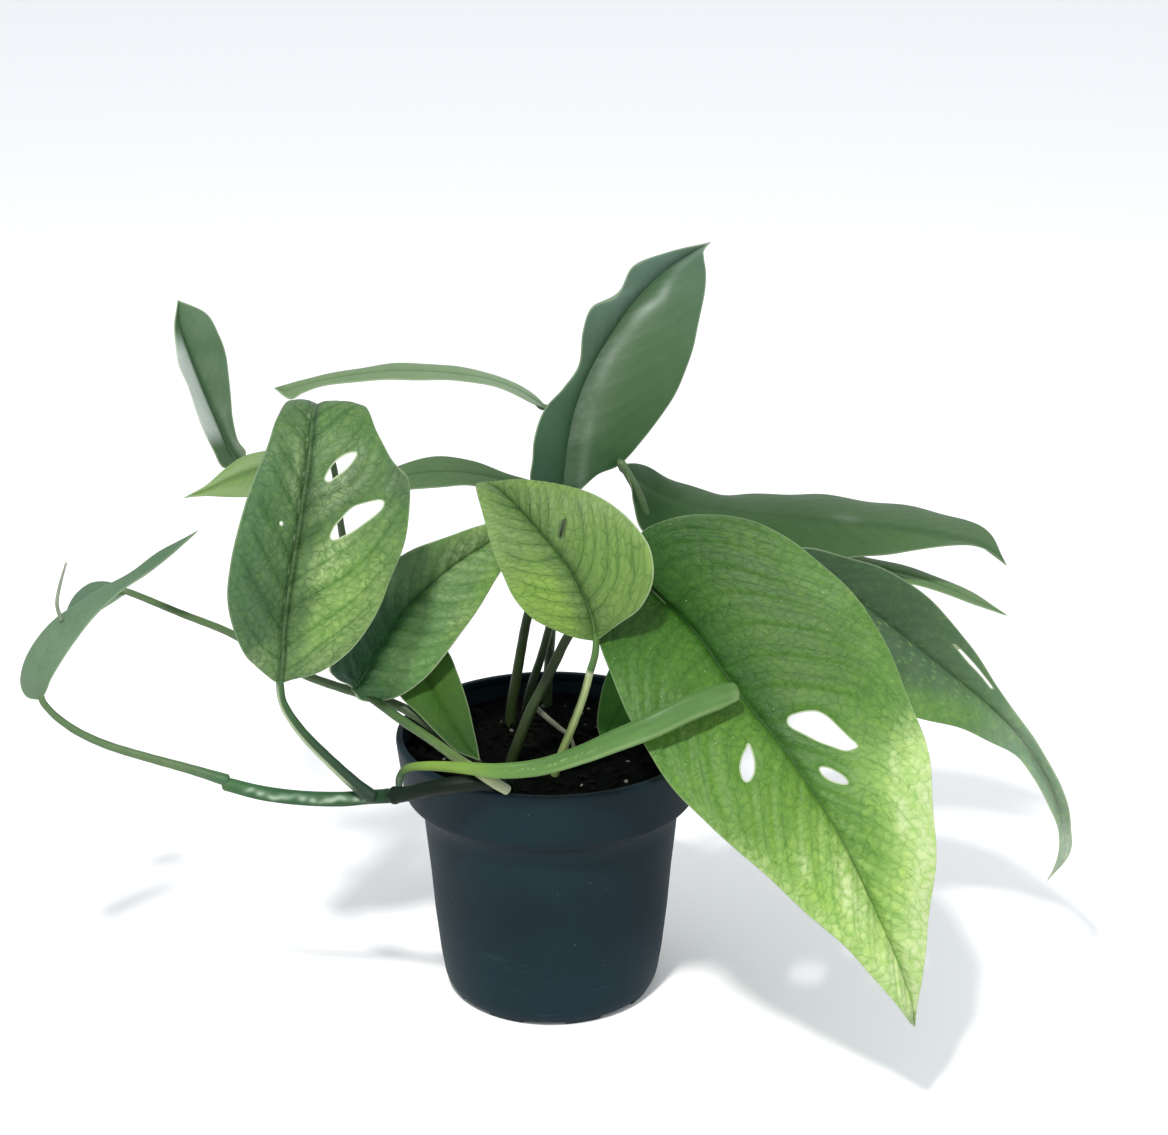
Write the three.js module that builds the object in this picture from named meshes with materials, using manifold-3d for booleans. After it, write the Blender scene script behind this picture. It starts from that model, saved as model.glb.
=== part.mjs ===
// Potted cebu blue pothos in its plastic nursery pot.
// Millimetres, +Z up. The origin is the middle of the pot's foot, on the surface it stands on.
// -Y is the front of the plant, +X its right.
import * as THREE from 'three';
import { mergeVertices } from 'three/addons/utils/BufferGeometryUtils.js';
import Module from 'manifold-3d';

const wasm = await Module();
wasm.setup();

// ---------------------------------------------------------------- driving dimensions
const POT_HEIGHT = 107.3;       // foot to rim
const RIM_RADIUS = 60.0;        // 12 cm pot
const LIP_WIDTH = 2.8;          // flat top of the rim
const WALL = 1.5;               // moulded wall
const WEB_LOW = 2.2;            // underside of the pot's floor
const WEB_HIGH = 3.8;           // top of the pot's floor
const FOOT_OUTER = 39.5;        // foot ring
const FOOT_INNER = 36.5;
const PAD_RADIUS = 9.0;         // gate pad in the middle of the foot
const NOTCH_COUNT = 8;          // drainage notches through the foot ring
const NOTCH_WIDTH = 17.0;
const NOTCH_HEIGHT = 2.0;
const NOTCH_START = -94.3;      // degrees, first notch, near the front
const DRAIN_COUNT = 8;          // holes through the pot's floor
const DRAIN_RADIUS = 4.0;
const DRAIN_PITCH_RADIUS = 29.0;
const POT_SEGMENTS = 40;
const SOIL_GAP = 0.4;           // growing medium to the pot's wall
const SOIL_EDGE = 98.0;         // level at the wall
const SOIL_CROWN = 101.2;       // level in the middle
const BLADE = 0.7;              // thickness of a leaf blade
const GAP = 0.35;               // clearance kept where pieces meet
const STEM_SIDES = 8;
const PETIOLE_SIDES = 6;

// Control stations of each blade, from its base to its tip: the midrib, and the two edges at the ends of
// the lateral veins. The openings are given in stations along the midrib and parts of the way to an edge.
const LEAVES = {
  leaf_a: { bulge: 0.05, side: 1,
    mid: [[32.9,-8,174.4],[35.1,-11,173.1],[38.4,-15,171.8],[43.1,-20,168.6],[49.2,-27,165.3],[56.6,-36,159.3],[65.4,-47,149.5],[75.5,-59,139.5],[85.2,-69,130.4],[94.5,-79,119],[103.5,-88,106.5],[111.2,-95,92.3],[119.1,-101,75.6],[126.4,-106,58],[131.5,-109,38.3]],
    left: [[32.9,-8,174.4],[24.8,-15.8,173],[19.4,-26.2,169.1],[17.7,-36.9,162.7],[20.5,-48.2,156.6],[28.2,-64.1,142.4],[41.2,-79.8,124.5],[55.2,-91.8,112.7],[72.8,-101.3,99.8],[90.4,-109.3,85.4],[105.6,-114.5,72.9],[116.4,-117.2,61],[123.6,-117.5,51.4],[128.1,-114.8,44.5],[131.5,-109,38.3]],
    right: [[32.9,-8,174.4],[29.5,-7.6,181.1],[31.7,-7.7,188.8],[39.5,-8.3,195.8],[56.1,-11.5,200.9],[77,-18.1,200],[99.7,-29.5,188.4],[118,-44,171.8],[130.3,-60.1,148],[136.8,-72.3,131.5],[138.3,-83.4,114.4],[138.7,-92.3,96.4],[136.1,-100.1,76.2],[133.6,-106.7,55.4],[131.5,-109,38.3]],
    holes: [[[7.51,0.14],[7.45,0.17],[7.48,0.22],[7.55,0.29],[7.65,0.35],[7.81,0.39],[8.04,0.42],[8.28,0.45],[8.48,0.48],[8.51,0.44],[8.48,0.38],[8.31,0.31],[8.11,0.24],[7.85,0.18],[7.65,0.14]],
      [[8.64,0.15],[8.71,0.20],[8.87,0.25],[9.01,0.28],[9.11,0.28],[9.07,0.23],[8.94,0.17],[8.77,0.14]],
      [[7.12,-0.25],[7.25,-0.28],[7.38,-0.33],[7.45,-0.41],[7.41,-0.49],[7.32,-0.51],[7.18,-0.46],[7.12,-0.37],[7.12,-0.29]]] },
  leaf_d: { bulge: 0.05, side: -1,
    mid: [[16.9,-42,162.4],[16.5,-42.5,165.4],[15.8,-43,170.4],[14.3,-43,175.5],[11.7,-42,181.8],[8.1,-40,188.9],[3.4,-37.5,195],[-2.4,-34,201.1],[-8.3,-29,206.3],[-13.8,-23,210.4],[-18.6,-16,212.3],[-24.4,-7,212.3]],
    left: [[16.9,-42,162.4],[10.2,-44.2,164.5],[2.2,-46.8,168.4],[-6.2,-48.1,173.7],[-13.1,-47.2,181.6],[-17.4,-44.4,190.3],[-20.6,-40.9,197.2],[-22.8,-36.3,204],[-25,-30,210.3],[-26.6,-23.6,213.5],[-27.1,-16.2,214.3],[-24.4,-7,212.3]],
    right: [[16.9,-42,162.4],[20.5,-43.3,165.7],[25.6,-45.3,170.4],[32.8,-46.7,176.9],[37.2,-46.3,186.1],[37.5,-44.4,195.1],[34.6,-41.6,202.6],[26.4,-36.9,211],[15.9,-31.1,215.9],[2.4,-24.1,217.8],[-11.2,-16.3,216.3],[-24.4,-7,212.3]],
    holes: [[[6.74,0.15],[7.02,0.23],[7.31,0.34],[7.31,0.38],[6.97,0.27],[6.71,0.17]]] },
  leaf_f: { bulge: 0.05, side: -1,
    mid: [[-100.1,-40,145],[-99.9,-41,147.4],[-99.2,-42.5,152.5],[-98.4,-44,159.5],[-97.7,-45,167.8],[-96.2,-45,178.4],[-94,-44,190.9],[-91.6,-41,204.1],[-89.7,-37,216.2],[-87.9,-32,226.7],[-87,-26,235.4],[-86.7,-17,242],[-86,-6,242.7],[-85,8,236.6],[-84,22,227.3],[-83.1,32,217.6]],
    left: [[-100.1,-40,145],[-103.3,-43.6,148.5],[-107.7,-48.9,155.6],[-111.6,-54.2,163.8],[-114.7,-57.5,175.7],[-115.8,-59.3,188.1],[-114.3,-59.1,199.5],[-111.6,-56.6,210],[-108.5,-50.5,221.1],[-105.2,-44.1,229.1],[-101.8,-35.2,235.9],[-99.4,-22.4,241.9],[-97.3,-7.1,243.5],[-93.2,8.6,238],[-87.8,22,227.3],[-83.1,32,217.6]],
    right: [[-100.1,-40,145],[-95.5,-40.8,146.9],[-85.7,-42.2,150.3],[-76.2,-43.1,157],[-69,-43.8,164.8],[-62.8,-43.4,175.6],[-57.5,-42.1,188.1],[-52.6,-39.1,200.9],[-50.7,-34.9,213.3],[-51.4,-30.7,222.3],[-57.2,-29,228.6],[-62.5,-21.6,236.9],[-67.4,-9,242],[-73.8,8.1,237.3],[-78.7,22.2,228],[-83.1,32,217.6]],
    holes: [[[7.02,0.31],[7.27,0.33],[7.45,0.37],[7.70,0.43],[7.87,0.49],[7.98,0.58],[8.09,0.70],[8.05,0.75],[7.87,0.74],[7.66,0.68],[7.48,0.61],[7.30,0.54],[7.16,0.48],[7.06,0.42],[6.95,0.35]],
      [[8.69,0.19],[8.98,0.22],[9.37,0.30],[9.72,0.43],[9.86,0.55],[9.51,0.48],[9.08,0.38],[8.80,0.29],[8.62,0.23]],
      [[7.30,-0.35],[7.38,-0.37],[7.41,-0.32],[7.30,-0.29],[7.27,-0.31]]] },
  leaf_l: { bulge: 0.05, side: -1,
    mid: [[-75.1,-8,129.4],[-73.4,-9,131.5],[-71.4,-9,134.4],[-68.2,-9,140.1],[-63.5,-8,147.9],[-57.7,-6,156.5],[-51.2,-4,164.3],[-43.2,-1,170.8],[-34.1,3,177],[-24.6,7,181.9],[-15.9,11,186.5],[-7.5,15,191.9]],
    left: [[-75.1,-8,129.4],[-77.8,-11.7,132.6],[-81.6,-15.7,136.9],[-83.4,-19.3,142.5],[-79.8,-18.8,151.7],[-74,-16.4,161.6],[-67.5,-13.8,171.9],[-60.7,-11,180.4],[-51.8,-6.4,185.1],[-39.1,-0.3,188],[-26,5.7,190.5],[-7.5,15,191.9]],
    right: [[-75.1,-8,129.4],[-73.5,-10.9,126.1],[-67.3,-12.2,125.3],[-57.3,-13.1,128.2],[-47.7,-12.4,134.9],[-39.6,-10.1,144.2],[-31.9,-7.4,154.1],[-25,-3.4,163.5],[-18.9,1.6,172.5],[-13.2,6.3,179.7],[-9,10.7,185.4],[-7.5,15,191.9]],
    holes: [] },
  leaf_e: { bulge: 0.05, side: -1,
    mid: [[5.2,12,196.2],[5.2,13,199.1],[5.2,15,203.6],[6,19,211.1],[7.2,23,218.6],[9.2,29,226.7],[12.7,35,235.6],[17.7,41,244.9],[24.4,47,254.3],[31.4,53,262.9],[39.3,59,270],[47.2,65,275.1],[54.8,70,278.6],[63.6,75,282.5]],
    left: [[5.2,12,196.2],[-2.4,4.7,200.9],[-7.3,2.2,209],[-6.5,6.4,217.1],[-5.3,10.3,224.5],[-1.5,18.4,232.9],[5.4,27.8,237.9],[11.5,35.1,244.7],[12.7,36.3,257.5],[16.6,40.1,266.3],[26.7,49.4,269.5],[32.5,54.3,278.5],[46.3,64,281.4],[63.6,75,282.5]],
    right: [[5.2,12,196.2],[11.7,14.5,201.3],[18.6,17.4,206.4],[27,20.4,209.3],[34.8,25,216.6],[43.4,31.9,225.6],[50.4,38.5,235.5],[55.2,45,246.8],[58.4,51.3,258.5],[60.5,57,268.1],[61.1,61.9,274],[60.5,66.9,278.6],[60.7,70.9,280.3],[63.6,75,282.5]],
    holes: [] },
  leaf_c: { bulge: 0.05, side: 1,
    mid: [[27.7,16,211.2],[31.6,19,206.1],[36.8,24,199.5],[44.7,29,193.2],[56.6,33,188],[70.5,37,184],[86.4,39,181.5],[104.2,40,179.4],[121.8,39,178],[139.2,36,177],[155.4,31,175.8],[167.2,25,174.3],[177,18,168.2]],
    left: [[27.7,16,211.2],[30.7,14.2,203],[32.3,14.8,195.1],[35.4,12.5,185.7],[45.3,11,177.2],[61.7,14,171.9],[82,17.4,169.7],[102.8,21.2,169],[122.5,24.3,169.8],[142.2,26.3,171.4],[157.8,27.1,173.5],[168.2,23.5,173.2],[177,18,168.2]],
    right: [[27.7,16,211.2],[34.1,26.8,207.9],[41.5,38,200.3],[52,45.8,193],[64.2,50.8,187],[82,62.2,182],[100.7,70.2,179.5],[118.7,68.3,178.4],[136.3,63.3,177.5],[152.1,55.1,177.5],[164.5,43.5,177.4],[172.7,31.2,175.7],[177,18,168.2]],
    holes: [] },
  leaf_b: { bulge: 0.05, side: 1,
    mid: [[92.3,14,177.5],[96.3,14,174.2],[103.3,13,168.4],[113.1,12,160.9],[123.6,10,153.3],[134.5,8,144.9],[146.1,5,136],[157.7,2,127.2],[168,-2,119.6],[178.4,-6,110.3],[187.9,-9,98],[195.8,-11,83.1],[200.1,-11,68.9],[201.2,-9,56.1],[195.7,-6,44.1]],
    left: [[92.3,14,177.5],[93.2,12.4,168.3],[94.5,9.7,155.6],[101.2,6.5,140.2],[112.9,2.5,126.4],[127.7,0,117.2],[145.1,-2.2,112.2],[159.4,-3.6,108.9],[170.6,-7.7,104.8],[180.5,-10.8,99.8],[187.5,-14.1,90.6],[193.4,-14.9,80.3],[197.4,-13.1,69.1],[198.5,-10.6,57.4],[195.7,-6,44.1]],
    right: [[92.3,14,177.5],[100.7,12.4,178.1],[112.7,9.5,175.8],[127.2,6.8,171.9],[141.6,3.3,164.1],[152.6,1.2,153.4],[162.8,-1.3,141.1],[172.4,-3.9,126.7],[180.4,-8.7,116.1],[187.9,-12.8,106.6],[194.7,-15.8,94.4],[200.4,-16.3,81.8],[202.4,-13.5,70.1],[203.2,-10.3,58.5],[195.7,-6,44.1]],
    holes: [[[5.76,0.72],[5.82,0.77],[6.25,0.82],[6.68,0.87],[7.02,0.87],[7.05,0.78],[6.68,0.76],[6.29,0.67]]] },
  leaf_c2: { bulge: 0.05, side: 1,
    mid: [[99.1,46,166.7],[105.1,46,164.1],[115,45,161.1],[126.1,44,158.4],[136.7,42,156.6],[147.2,40,154.4],[158.1,37,151.2],[168.8,33,147.2],[180.1,28,143.3]],
    left: [[99.1,46,166.7],[104.4,41.8,163.6],[114.4,38.5,160.2],[125.3,35.8,157.4],[135.9,34.6,155.7],[146.5,33.5,153.5],[157.1,32,150.7],[168,29.6,146.9],[180.1,28,143.3]],
    right: [[99.1,46,166.7],[105.8,50,164.3],[116.4,51.1,161.3],[127.7,52,158.8],[138.4,50,156.9],[148.9,47,154.6],[159.7,43.1,151.4],[170.3,38.1,147.3],[180.1,28,143.3]],
    holes: [] },
  leaf_g: { bulge: 0.05, side: -1,
    mid: [[-0.4,54,221],[-5.5,53,225.5],[-13.2,52,230.3],[-22.9,50,234.6],[-34.4,46,237.9],[-47.7,42,240.4],[-60.9,37,242],[-73.9,32,242],[-85,27,241.6],[-94.2,23,240.6],[-99.7,20,239.5],[-103.6,18,241.4]],
    left: [[-0.4,54,221],[-5.8,49.2,224.6],[-14,46.8,229.5],[-23.5,44.4,234],[-34.9,39,237.3],[-48.1,33.2,239.6],[-61.2,28.4,241.1],[-74.3,25.5,241.3],[-84.7,21.8,240.9],[-92.7,17.3,239.6],[-97.5,15.2,237.9],[-103.6,18,241.4]],
    right: [[-0.4,54,221],[-4.3,54.8,225.3],[-11.3,55.2,230.1],[-21,54.7,234.8],[-33.3,52.2,238.5],[-46.8,49,241.1],[-60.4,43.7,242.8],[-73.9,37.6,242.7],[-85.7,31.5,242.2],[-95.3,27.1,241.3],[-100.3,23.4,240.8],[-103.6,18,241.4]],
    holes: [] },
  leaf_h: { bulge: 0.05, side: -1,
    mid: [[4.1,34,191.2],[-6.7,33,195.7],[-18.3,31,200.1],[-29.8,28,203.7],[-41.1,24,205.9],[-52.5,20,206.2],[-62.6,16,204.4],[-71.2,12,201]],
    left: [[4.1,34,191.2],[-7.5,28.4,193.6],[-19,24.4,197.1],[-30.4,21.4,200.7],[-40.9,16,202.2],[-52.2,12.1,202.5],[-62.4,10.8,201.8],[-71.2,12,201]],
    right: [[4.1,34,191.2],[-6,36.6,196.9],[-18,35,201.6],[-29.9,34.8,206.2],[-42.1,32.6,209.1],[-54.2,26.5,208.4],[-64,20.8,205.9],[-71.2,12,201]],
    holes: [] },
  leaf_i: { bulge: 0.05, side: -1,
    mid: [[-115.4,8,215],[-118.2,10,215.9],[-121.4,13,220.1],[-125.2,17,227.9],[-129,21,235.8],[-132.4,24,243.6],[-135.4,27,250.9],[-137.9,29,257.8],[-139.8,31,263.9],[-140,33,271.6]],
    left: [[-115.4,8,215],[-121.8,0.3,215.7],[-125.9,3.4,221.4],[-129.7,6.6,228.6],[-132.9,11.6,236],[-135.9,15.1,243.6],[-138.9,17.4,250.4],[-140.2,21.9,256.8],[-141.2,27.4,263.8],[-140,33,271.6]],
    right: [[-115.4,8,215],[-114.5,11.3,218.3],[-117.6,14.1,222.1],[-119.6,18.1,229.5],[-120.4,21.9,236.3],[-121.2,25,244],[-122.3,28.3,251.7],[-124.8,30.3,258.6],[-129.7,32.9,266.5],[-140,33,271.6]],
    holes: [] },
  leaf_j: { bulge: 0.05, side: -1,
    mid: [[-81.5,-6,222.8],[-90.7,-7,221.2],[-101.7,-9,219.6],[-110.9,-11,217.6],[-118.9,-13,215.2],[-126.6,-15,212.4],[-135.4,-17,210]],
    left: [[-81.5,-6,222.8],[-89.4,-13,215.4],[-99.5,-16.8,212.1],[-109.8,-18.1,210.7],[-118.7,-17.6,210.5],[-126.9,-16.7,210.6],[-135.4,-17,210]],
    right: [[-81.5,-6,222.8],[-92.7,-3.5,225.9],[-103.7,-5.3,224.6],[-113.3,-7,222.9],[-120.5,-10.2,218.9],[-127.4,-14,213.6],[-135.4,-17,210]],
    holes: [] },
  leaf_k: { bulge: 0.05, side: 1,
    mid: [[-188,-42,139.9],[-189.3,-42,143.1],[-190,-42,148.7],[-187.5,-41,155.9],[-182.6,-39,162.6],[-176.2,-37,169.3],[-169,-34,174.8],[-160.7,-31,179.1],[-151.2,-28,184.6],[-140.9,-25,191.3],[-129.4,-22,199.2]],
    left: [[-188,-42,139.9],[-185.6,-43.7,144.6],[-183.1,-45.7,150.3],[-179,-45.6,157],[-174.1,-43.3,163.5],[-168.7,-40.5,170.3],[-163.4,-36.7,175],[-156.8,-32.4,179.7],[-148.4,-29.3,184.7],[-138.9,-26,191.3],[-129.4,-22,199.2]],
    right: [[-188,-42,139.9],[-194.2,-38.1,139.4],[-196.6,-36.9,144.9],[-194.8,-35.5,152.8],[-189.5,-33.2,161],[-182.3,-31.4,168.7],[-173.6,-30.3,174.2],[-164.9,-27.3,178.9],[-154.5,-25.1,184.3],[-143.4,-22.2,191.5],[-129.4,-22,199.2]],
    holes: [] },
  leaf_k2: { bulge: 0.05, side: -1,
    mid: [[-159.1,-8,169.3],[-163.6,-8,169.3],[-169.4,-8,168.1],[-175.2,-8,164.5],[-180.8,-8,159.6],[-185.7,-8,153.9]],
    left: [[-159.1,-8,169.3],[-163,-10.7,167.1],[-167.8,-12.5,164.6],[-172.5,-12.3,161.3],[-177.8,-11.3,157.7],[-185.7,-8,153.9]],
    right: [[-159.1,-8,169.3],[-163.6,-4.6,171.2],[-169.6,-2.3,171.5],[-175.6,-0.7,169.3],[-181.8,-2.3,163.5],[-185.7,-8,153.9]],
    holes: [] },
  leaf_n: { bulge: 0.05, side: 1,
    mid: [[-57,6,146.7],[-54.7,3.5,142.3],[-50.8,0,136.7],[-46.1,-5,129.2],[-41.1,-11,122.2],[-36,-17,115.6],[-31.4,-21.5,110.1],[-26.8,-25,106.3]],
    left: [[-57,6,146.7],[-60.7,1.3,141.2],[-61.8,-4.1,134.3],[-57.5,-9.4,126.5],[-50.2,-14.1,120.7],[-42.8,-19.3,114.6],[-35.6,-23,109.2],[-26.8,-25,106.3]],
    right: [[-57,6,146.7],[-46.9,3.7,145.1],[-39.6,0.5,141.4],[-35.3,-4.5,133.5],[-31.5,-11.3,123.9],[-29.2,-17.4,116.2],[-27.6,-21.8,110.2],[-26.8,-25,106.3]],
    holes: [] },
  leaf_p: { bulge: 0.05, side: 1,
    mid: [[41.6,6,145.4],[38.5,4,139.5],[34.6,1,133.3],[30.7,-2,126.2],[26.8,-5,119.1],[23.3,-8,112.9],[19.8,-10,107.1]],
    left: [[41.6,6,145.4],[31.5,4,142.9],[24.6,0.5,136.9],[20.7,-2.7,129.1],[18.7,-5.6,121.2],[17.9,-8.6,113.6],[19.8,-10,107.1]],
    right: [[41.6,6,145.4],[47,4.9,138.3],[45.5,1.5,129.6],[40.4,-2.1,121.1],[34.5,-5.1,114.9],[28.7,-8,110.3],[19.8,-10,107.1]],
    holes: [] },
};

// Centre lines of the stems, from the growing medium or the parent stem outward, and the radius at each point.
const TUBES = {
  vine: { path: [[-15.3,-41,93],[-15.8,-43.5,102],[-18,-50.5,110.2],[-22.4,-56.5,112.5],[-33.4,-58.5,112.5],[-44.6,-56,109.7],[-54.1,-52,105.4],[-61.8,-48,102.7],[-68.8,-45,100.9],[-79,-44,99.7],[-94.1,-42,99.3],[-108.4,-41,100.9],[-121.8,-40,104.3]],
    r: [3.1,3.1,3.1,3.1,3.1,3,2.9,2.7,2.7,2.8,2.8,2.8,2.6] },
  petiole_k: { path: [[-121.7,-40,105.9],[-135,-40,110.5],[-149.7,-40,115.1],[-164.3,-40,120.1],[-175,-41,126],[-182.7,-41.5,132.3],[-186.7,-42,137.4],[-188,-42,139.9]],
    r: [2.2,1.9,1.7,1.6,1.5,1.4,1.3,1.3] },
  petiole_f: { path: [[-66.7,-48,102.4],[-72.9,-47,107.3],[-82.1,-45,115.8],[-90.9,-43,124.8],[-96.7,-41.5,132.7],[-99.5,-40.5,138.7],[-100.1,-40,145]],
    r: [2.6,2.5,2.2,2,1.8,1.6,1.5] },
  petiole_l: { path: [[-16.1,-60.5,110.9],[-20.5,-61.2,114.1],[-25.2,-60.5,117.2],[-30.5,-54,117.9],[-35.6,-45,117.2],[-45.4,-31,118.3],[-57.1,-20,121.7],[-65.7,-13,125.3],[-71.6,-9.5,127.9],[-75.1,-8,129.4]],
    r: [1.8,2,2,1.9,1.9,1.8,1.8,1.7,1.5,1.4] },
  stem_k2: { path: [[-24.9,-14.9,94],[-30.2,-14,102.9],[-42.4,-12,112.1],[-53.8,-9,119.7],[-63.5,-5,122.6],[-79.1,0,125.5],[-94.6,3,130.2],[-109.7,3,139],[-122.4,0,149.1],[-140.5,-4,159],[-159.1,-8,169.3]],
    r: [2.12,2,2,2,1.9,1.8,1.7,1.6,1.5,1.4,1.3] },
  petiole_d: { path: [[1,-24.7,94],[2,-26,102.8],[4.3,-29,111.7],[8.5,-33,125],[12.2,-37,137.8],[14.7,-40,149.2],[16.5,-41.5,156.6],[16.9,-42,162.4]],
    r: [1.8,1.7,1.7,1.6,1.5,1.5,1.4,1.3] },
  petiole_a: { path: [[-16.6,-18,94],[-15.6,-18,101.3],[-12.4,-18,110.9],[-7.8,-17,123],[-3.2,-15,132],[1.8,-13,141.9],[6.8,-11,151.7],[15.2,-9,163.5],[24.6,-8,170.8],[32.9,-8,174.4]],
    r: [2.33,2.2,2.2,2.1,2,2,1.9,1.8,1.7,1.6] },
  petiole_e: { path: [[-16.4,20,94],[-15.9,20,102.3],[-15.1,20,110.5],[-13.5,20,120.4],[-11.4,20,133.1],[-8.9,19,147],[-4.6,17,163.6],[0.9,14,183.3],[5.2,12,196.2]],
    r: [2.38,2.31,2.2,2.1,2,1.9,1.8,1.7,1.6] },
  petiole_c: { path: [[21.2,20,94],[22,20,102.1],[24.7,20,115.9],[29.7,21,134.6],[35.5,21,153.5],[38.8,21,173.5],[35.8,18,193.9],[27.7,16,211.2]],
    r: [2.33,2.2,2.1,2,1.9,1.8,1.7,1.6] },
  petiole_b: { path: [[27.8,14.6,94],[30.5,15,101.7],[43,17,117.9],[61.6,18,142],[79.3,16,165.7],[92.3,14,177.5]],
    r: [2.33,2.2,2,1.9,1.8,1.6] },
  petiole_c2: { path: [[26.6,35.3,94],[28.7,36,101.1],[43.9,41,124.1],[63.7,45,148.1],[82.6,46,162.1],[99.1,46,166.7]],
    r: [1.91,1.8,1.7,1.6,1.5,1.3] },
  petiole_g: { path: [[-1.5,42.6,94],[-1.3,43.1,102.9],[-0.9,44,111.7],[0.8,48,134.4],[2.5,51,158.9],[5,53,179.3],[7,54,197.8],[5.4,54,213.2],[-0.4,54,221]],
    r: [2.16,2.1,2,1.9,1.8,1.7,1.6,1.5,1.3] },
  petiole_h: { path: [[-10.4,32.6,94],[-9.5,32.7,102.2],[-8.1,33,110.4],[-2.8,34,127.2],[2.4,35,148.1],[7.2,35,169.2],[8.8,35,183.8],[4.1,34,191.2]],
    r: [1.94,1.89,1.8,1.7,1.6,1.5,1.4,1.3] },
  petiole_i: { path: [[-34.6,14,94],[-38.7,14,102.6],[-49.1,14,112.5],[-60.5,14,127.4],[-73.4,13,151],[-87.2,12,176.3],[-99.3,10,197.4],[-108.5,8,210.6],[-115.4,8,215]],
    r: [2.01,1.9,1.9,1.8,1.7,1.6,1.5,1.4,1.3] },
  petiole_j: { path: [[-32.1,7.8,94],[-34.7,8,99.2],[-46.2,9,110],[-57.6,9,124.5],[-68.6,7,147.2],[-76,3,173.5],[-78.9,-1,195.2],[-79.7,-4,212.3],[-81.5,-6,222.8]],
    r: [1.91,1.8,1.8,1.7,1.6,1.5,1.4,1.3,1.2] },
  petiole_n: { path: [[-63.1,-6,123.4],[-67.3,-2,130.9],[-67,3,139.7],[-62.4,6,145.1],[-57,6,146.7]],
    r: [1.3,1.3,1.2,1.2,1.2] },
  petiole_p: { path: [[33.4,4.5,94],[34.9,5,101.9],[40.8,7,115.1],[45.7,8,129.4],[45.6,7,140.3],[41.6,6,145.4]],
    r: [1.48,1.4,1.4,1.3,1.2,1.1] },
  young_leaf: { flat: 0.5, path: [[-56.4,-50,107.8],[-56.1,-47.5,110.3],[-53.1,-47,113.7],[-44.7,-50,115.9],[-31.5,-60,119.6],[-18.5,-66.5,121.4],[-3.9,-68.5,123.8],[10.7,-71.5,129.9],[23.3,-74.5,136.8],[37.6,-75.5,143.5],[50.3,-71,148.1],[60.7,-66,150.2],[66.6,-63,150.8]],
    r: [1.3,1.4,1.5,1.8,2.3,2.9,3.2,3.5,4.1,4.6,4.9,4.4,2.4] },
  aerial_root: { path: [[-7,-14,125],[-2.1,-12,119],[2.9,-10,113.5],[7.5,-9,108.8],[9.5,-8,101.5],[10.5,-7.5,96.5]],
    r: [1.1,1.1,1,0.8,0.8,0.7] },
  dried_tip: { path: [[-180,-36,169.3],[-181.1,-36,175.7],[-179.7,-35,182.8],[-177.1,-34,191]],
    r: [0.8,0.7,0.6,0.4] },
};

// ---------------------------------------------------------------- helpers
const vec = (p) => new THREE.Vector3(p[0], p[1], p[2]);

function spline(points) {
  const curve = new THREE.CatmullRomCurve3(points.map(vec), false, 'catmullrom', 0.5);
  const last = points.length - 1;
  return (u) => curve.getPoint(Math.min(Math.max(u / last, 0), 1));
}

function solid(geometry) {
  const g = geometry.clone();
  g.deleteAttribute('normal');
  g.deleteAttribute('uv');
  const m = mergeVertices(g, 1e-4);
  const tri = [];
  const idx = m.index.array;
  for (let i = 0; i < idx.length; i += 3) {
    if (idx[i] !== idx[i + 1] && idx[i + 1] !== idx[i + 2] && idx[i] !== idx[i + 2]) {
      tri.push(idx[i], idx[i + 1], idx[i + 2]);
    }
  }
  return new wasm.Manifold(new wasm.Mesh({
    numProp: 3,
    vertProperties: new Float32Array(m.attributes.position.array),
    triVerts: new Uint32Array(tri),
  }));
}

function largest(body) {
  const parts = body.decompose();
  let best = parts[0];
  for (const p of parts) if (Math.abs(p.volume()) > Math.abs(best.volume())) best = p;
  return best;
}

function geometryOf(body) {
  const mesh = body.getMesh();
  const g = new THREE.BufferGeometry();
  g.setAttribute('position', new THREE.BufferAttribute(new Float32Array(mesh.vertProperties), 3));
  g.setIndex(new THREE.BufferAttribute(new Uint32Array(mesh.triVerts), 1));
  g.computeVertexNormals();
  return g;
}

function fromGrid(vertices, triangles) {
  const g = new THREE.BufferGeometry();
  g.setAttribute('position', new THREE.BufferAttribute(new Float32Array(vertices), 3));
  g.setIndex(triangles);
  g.computeVertexNormals();
  return g;
}

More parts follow.
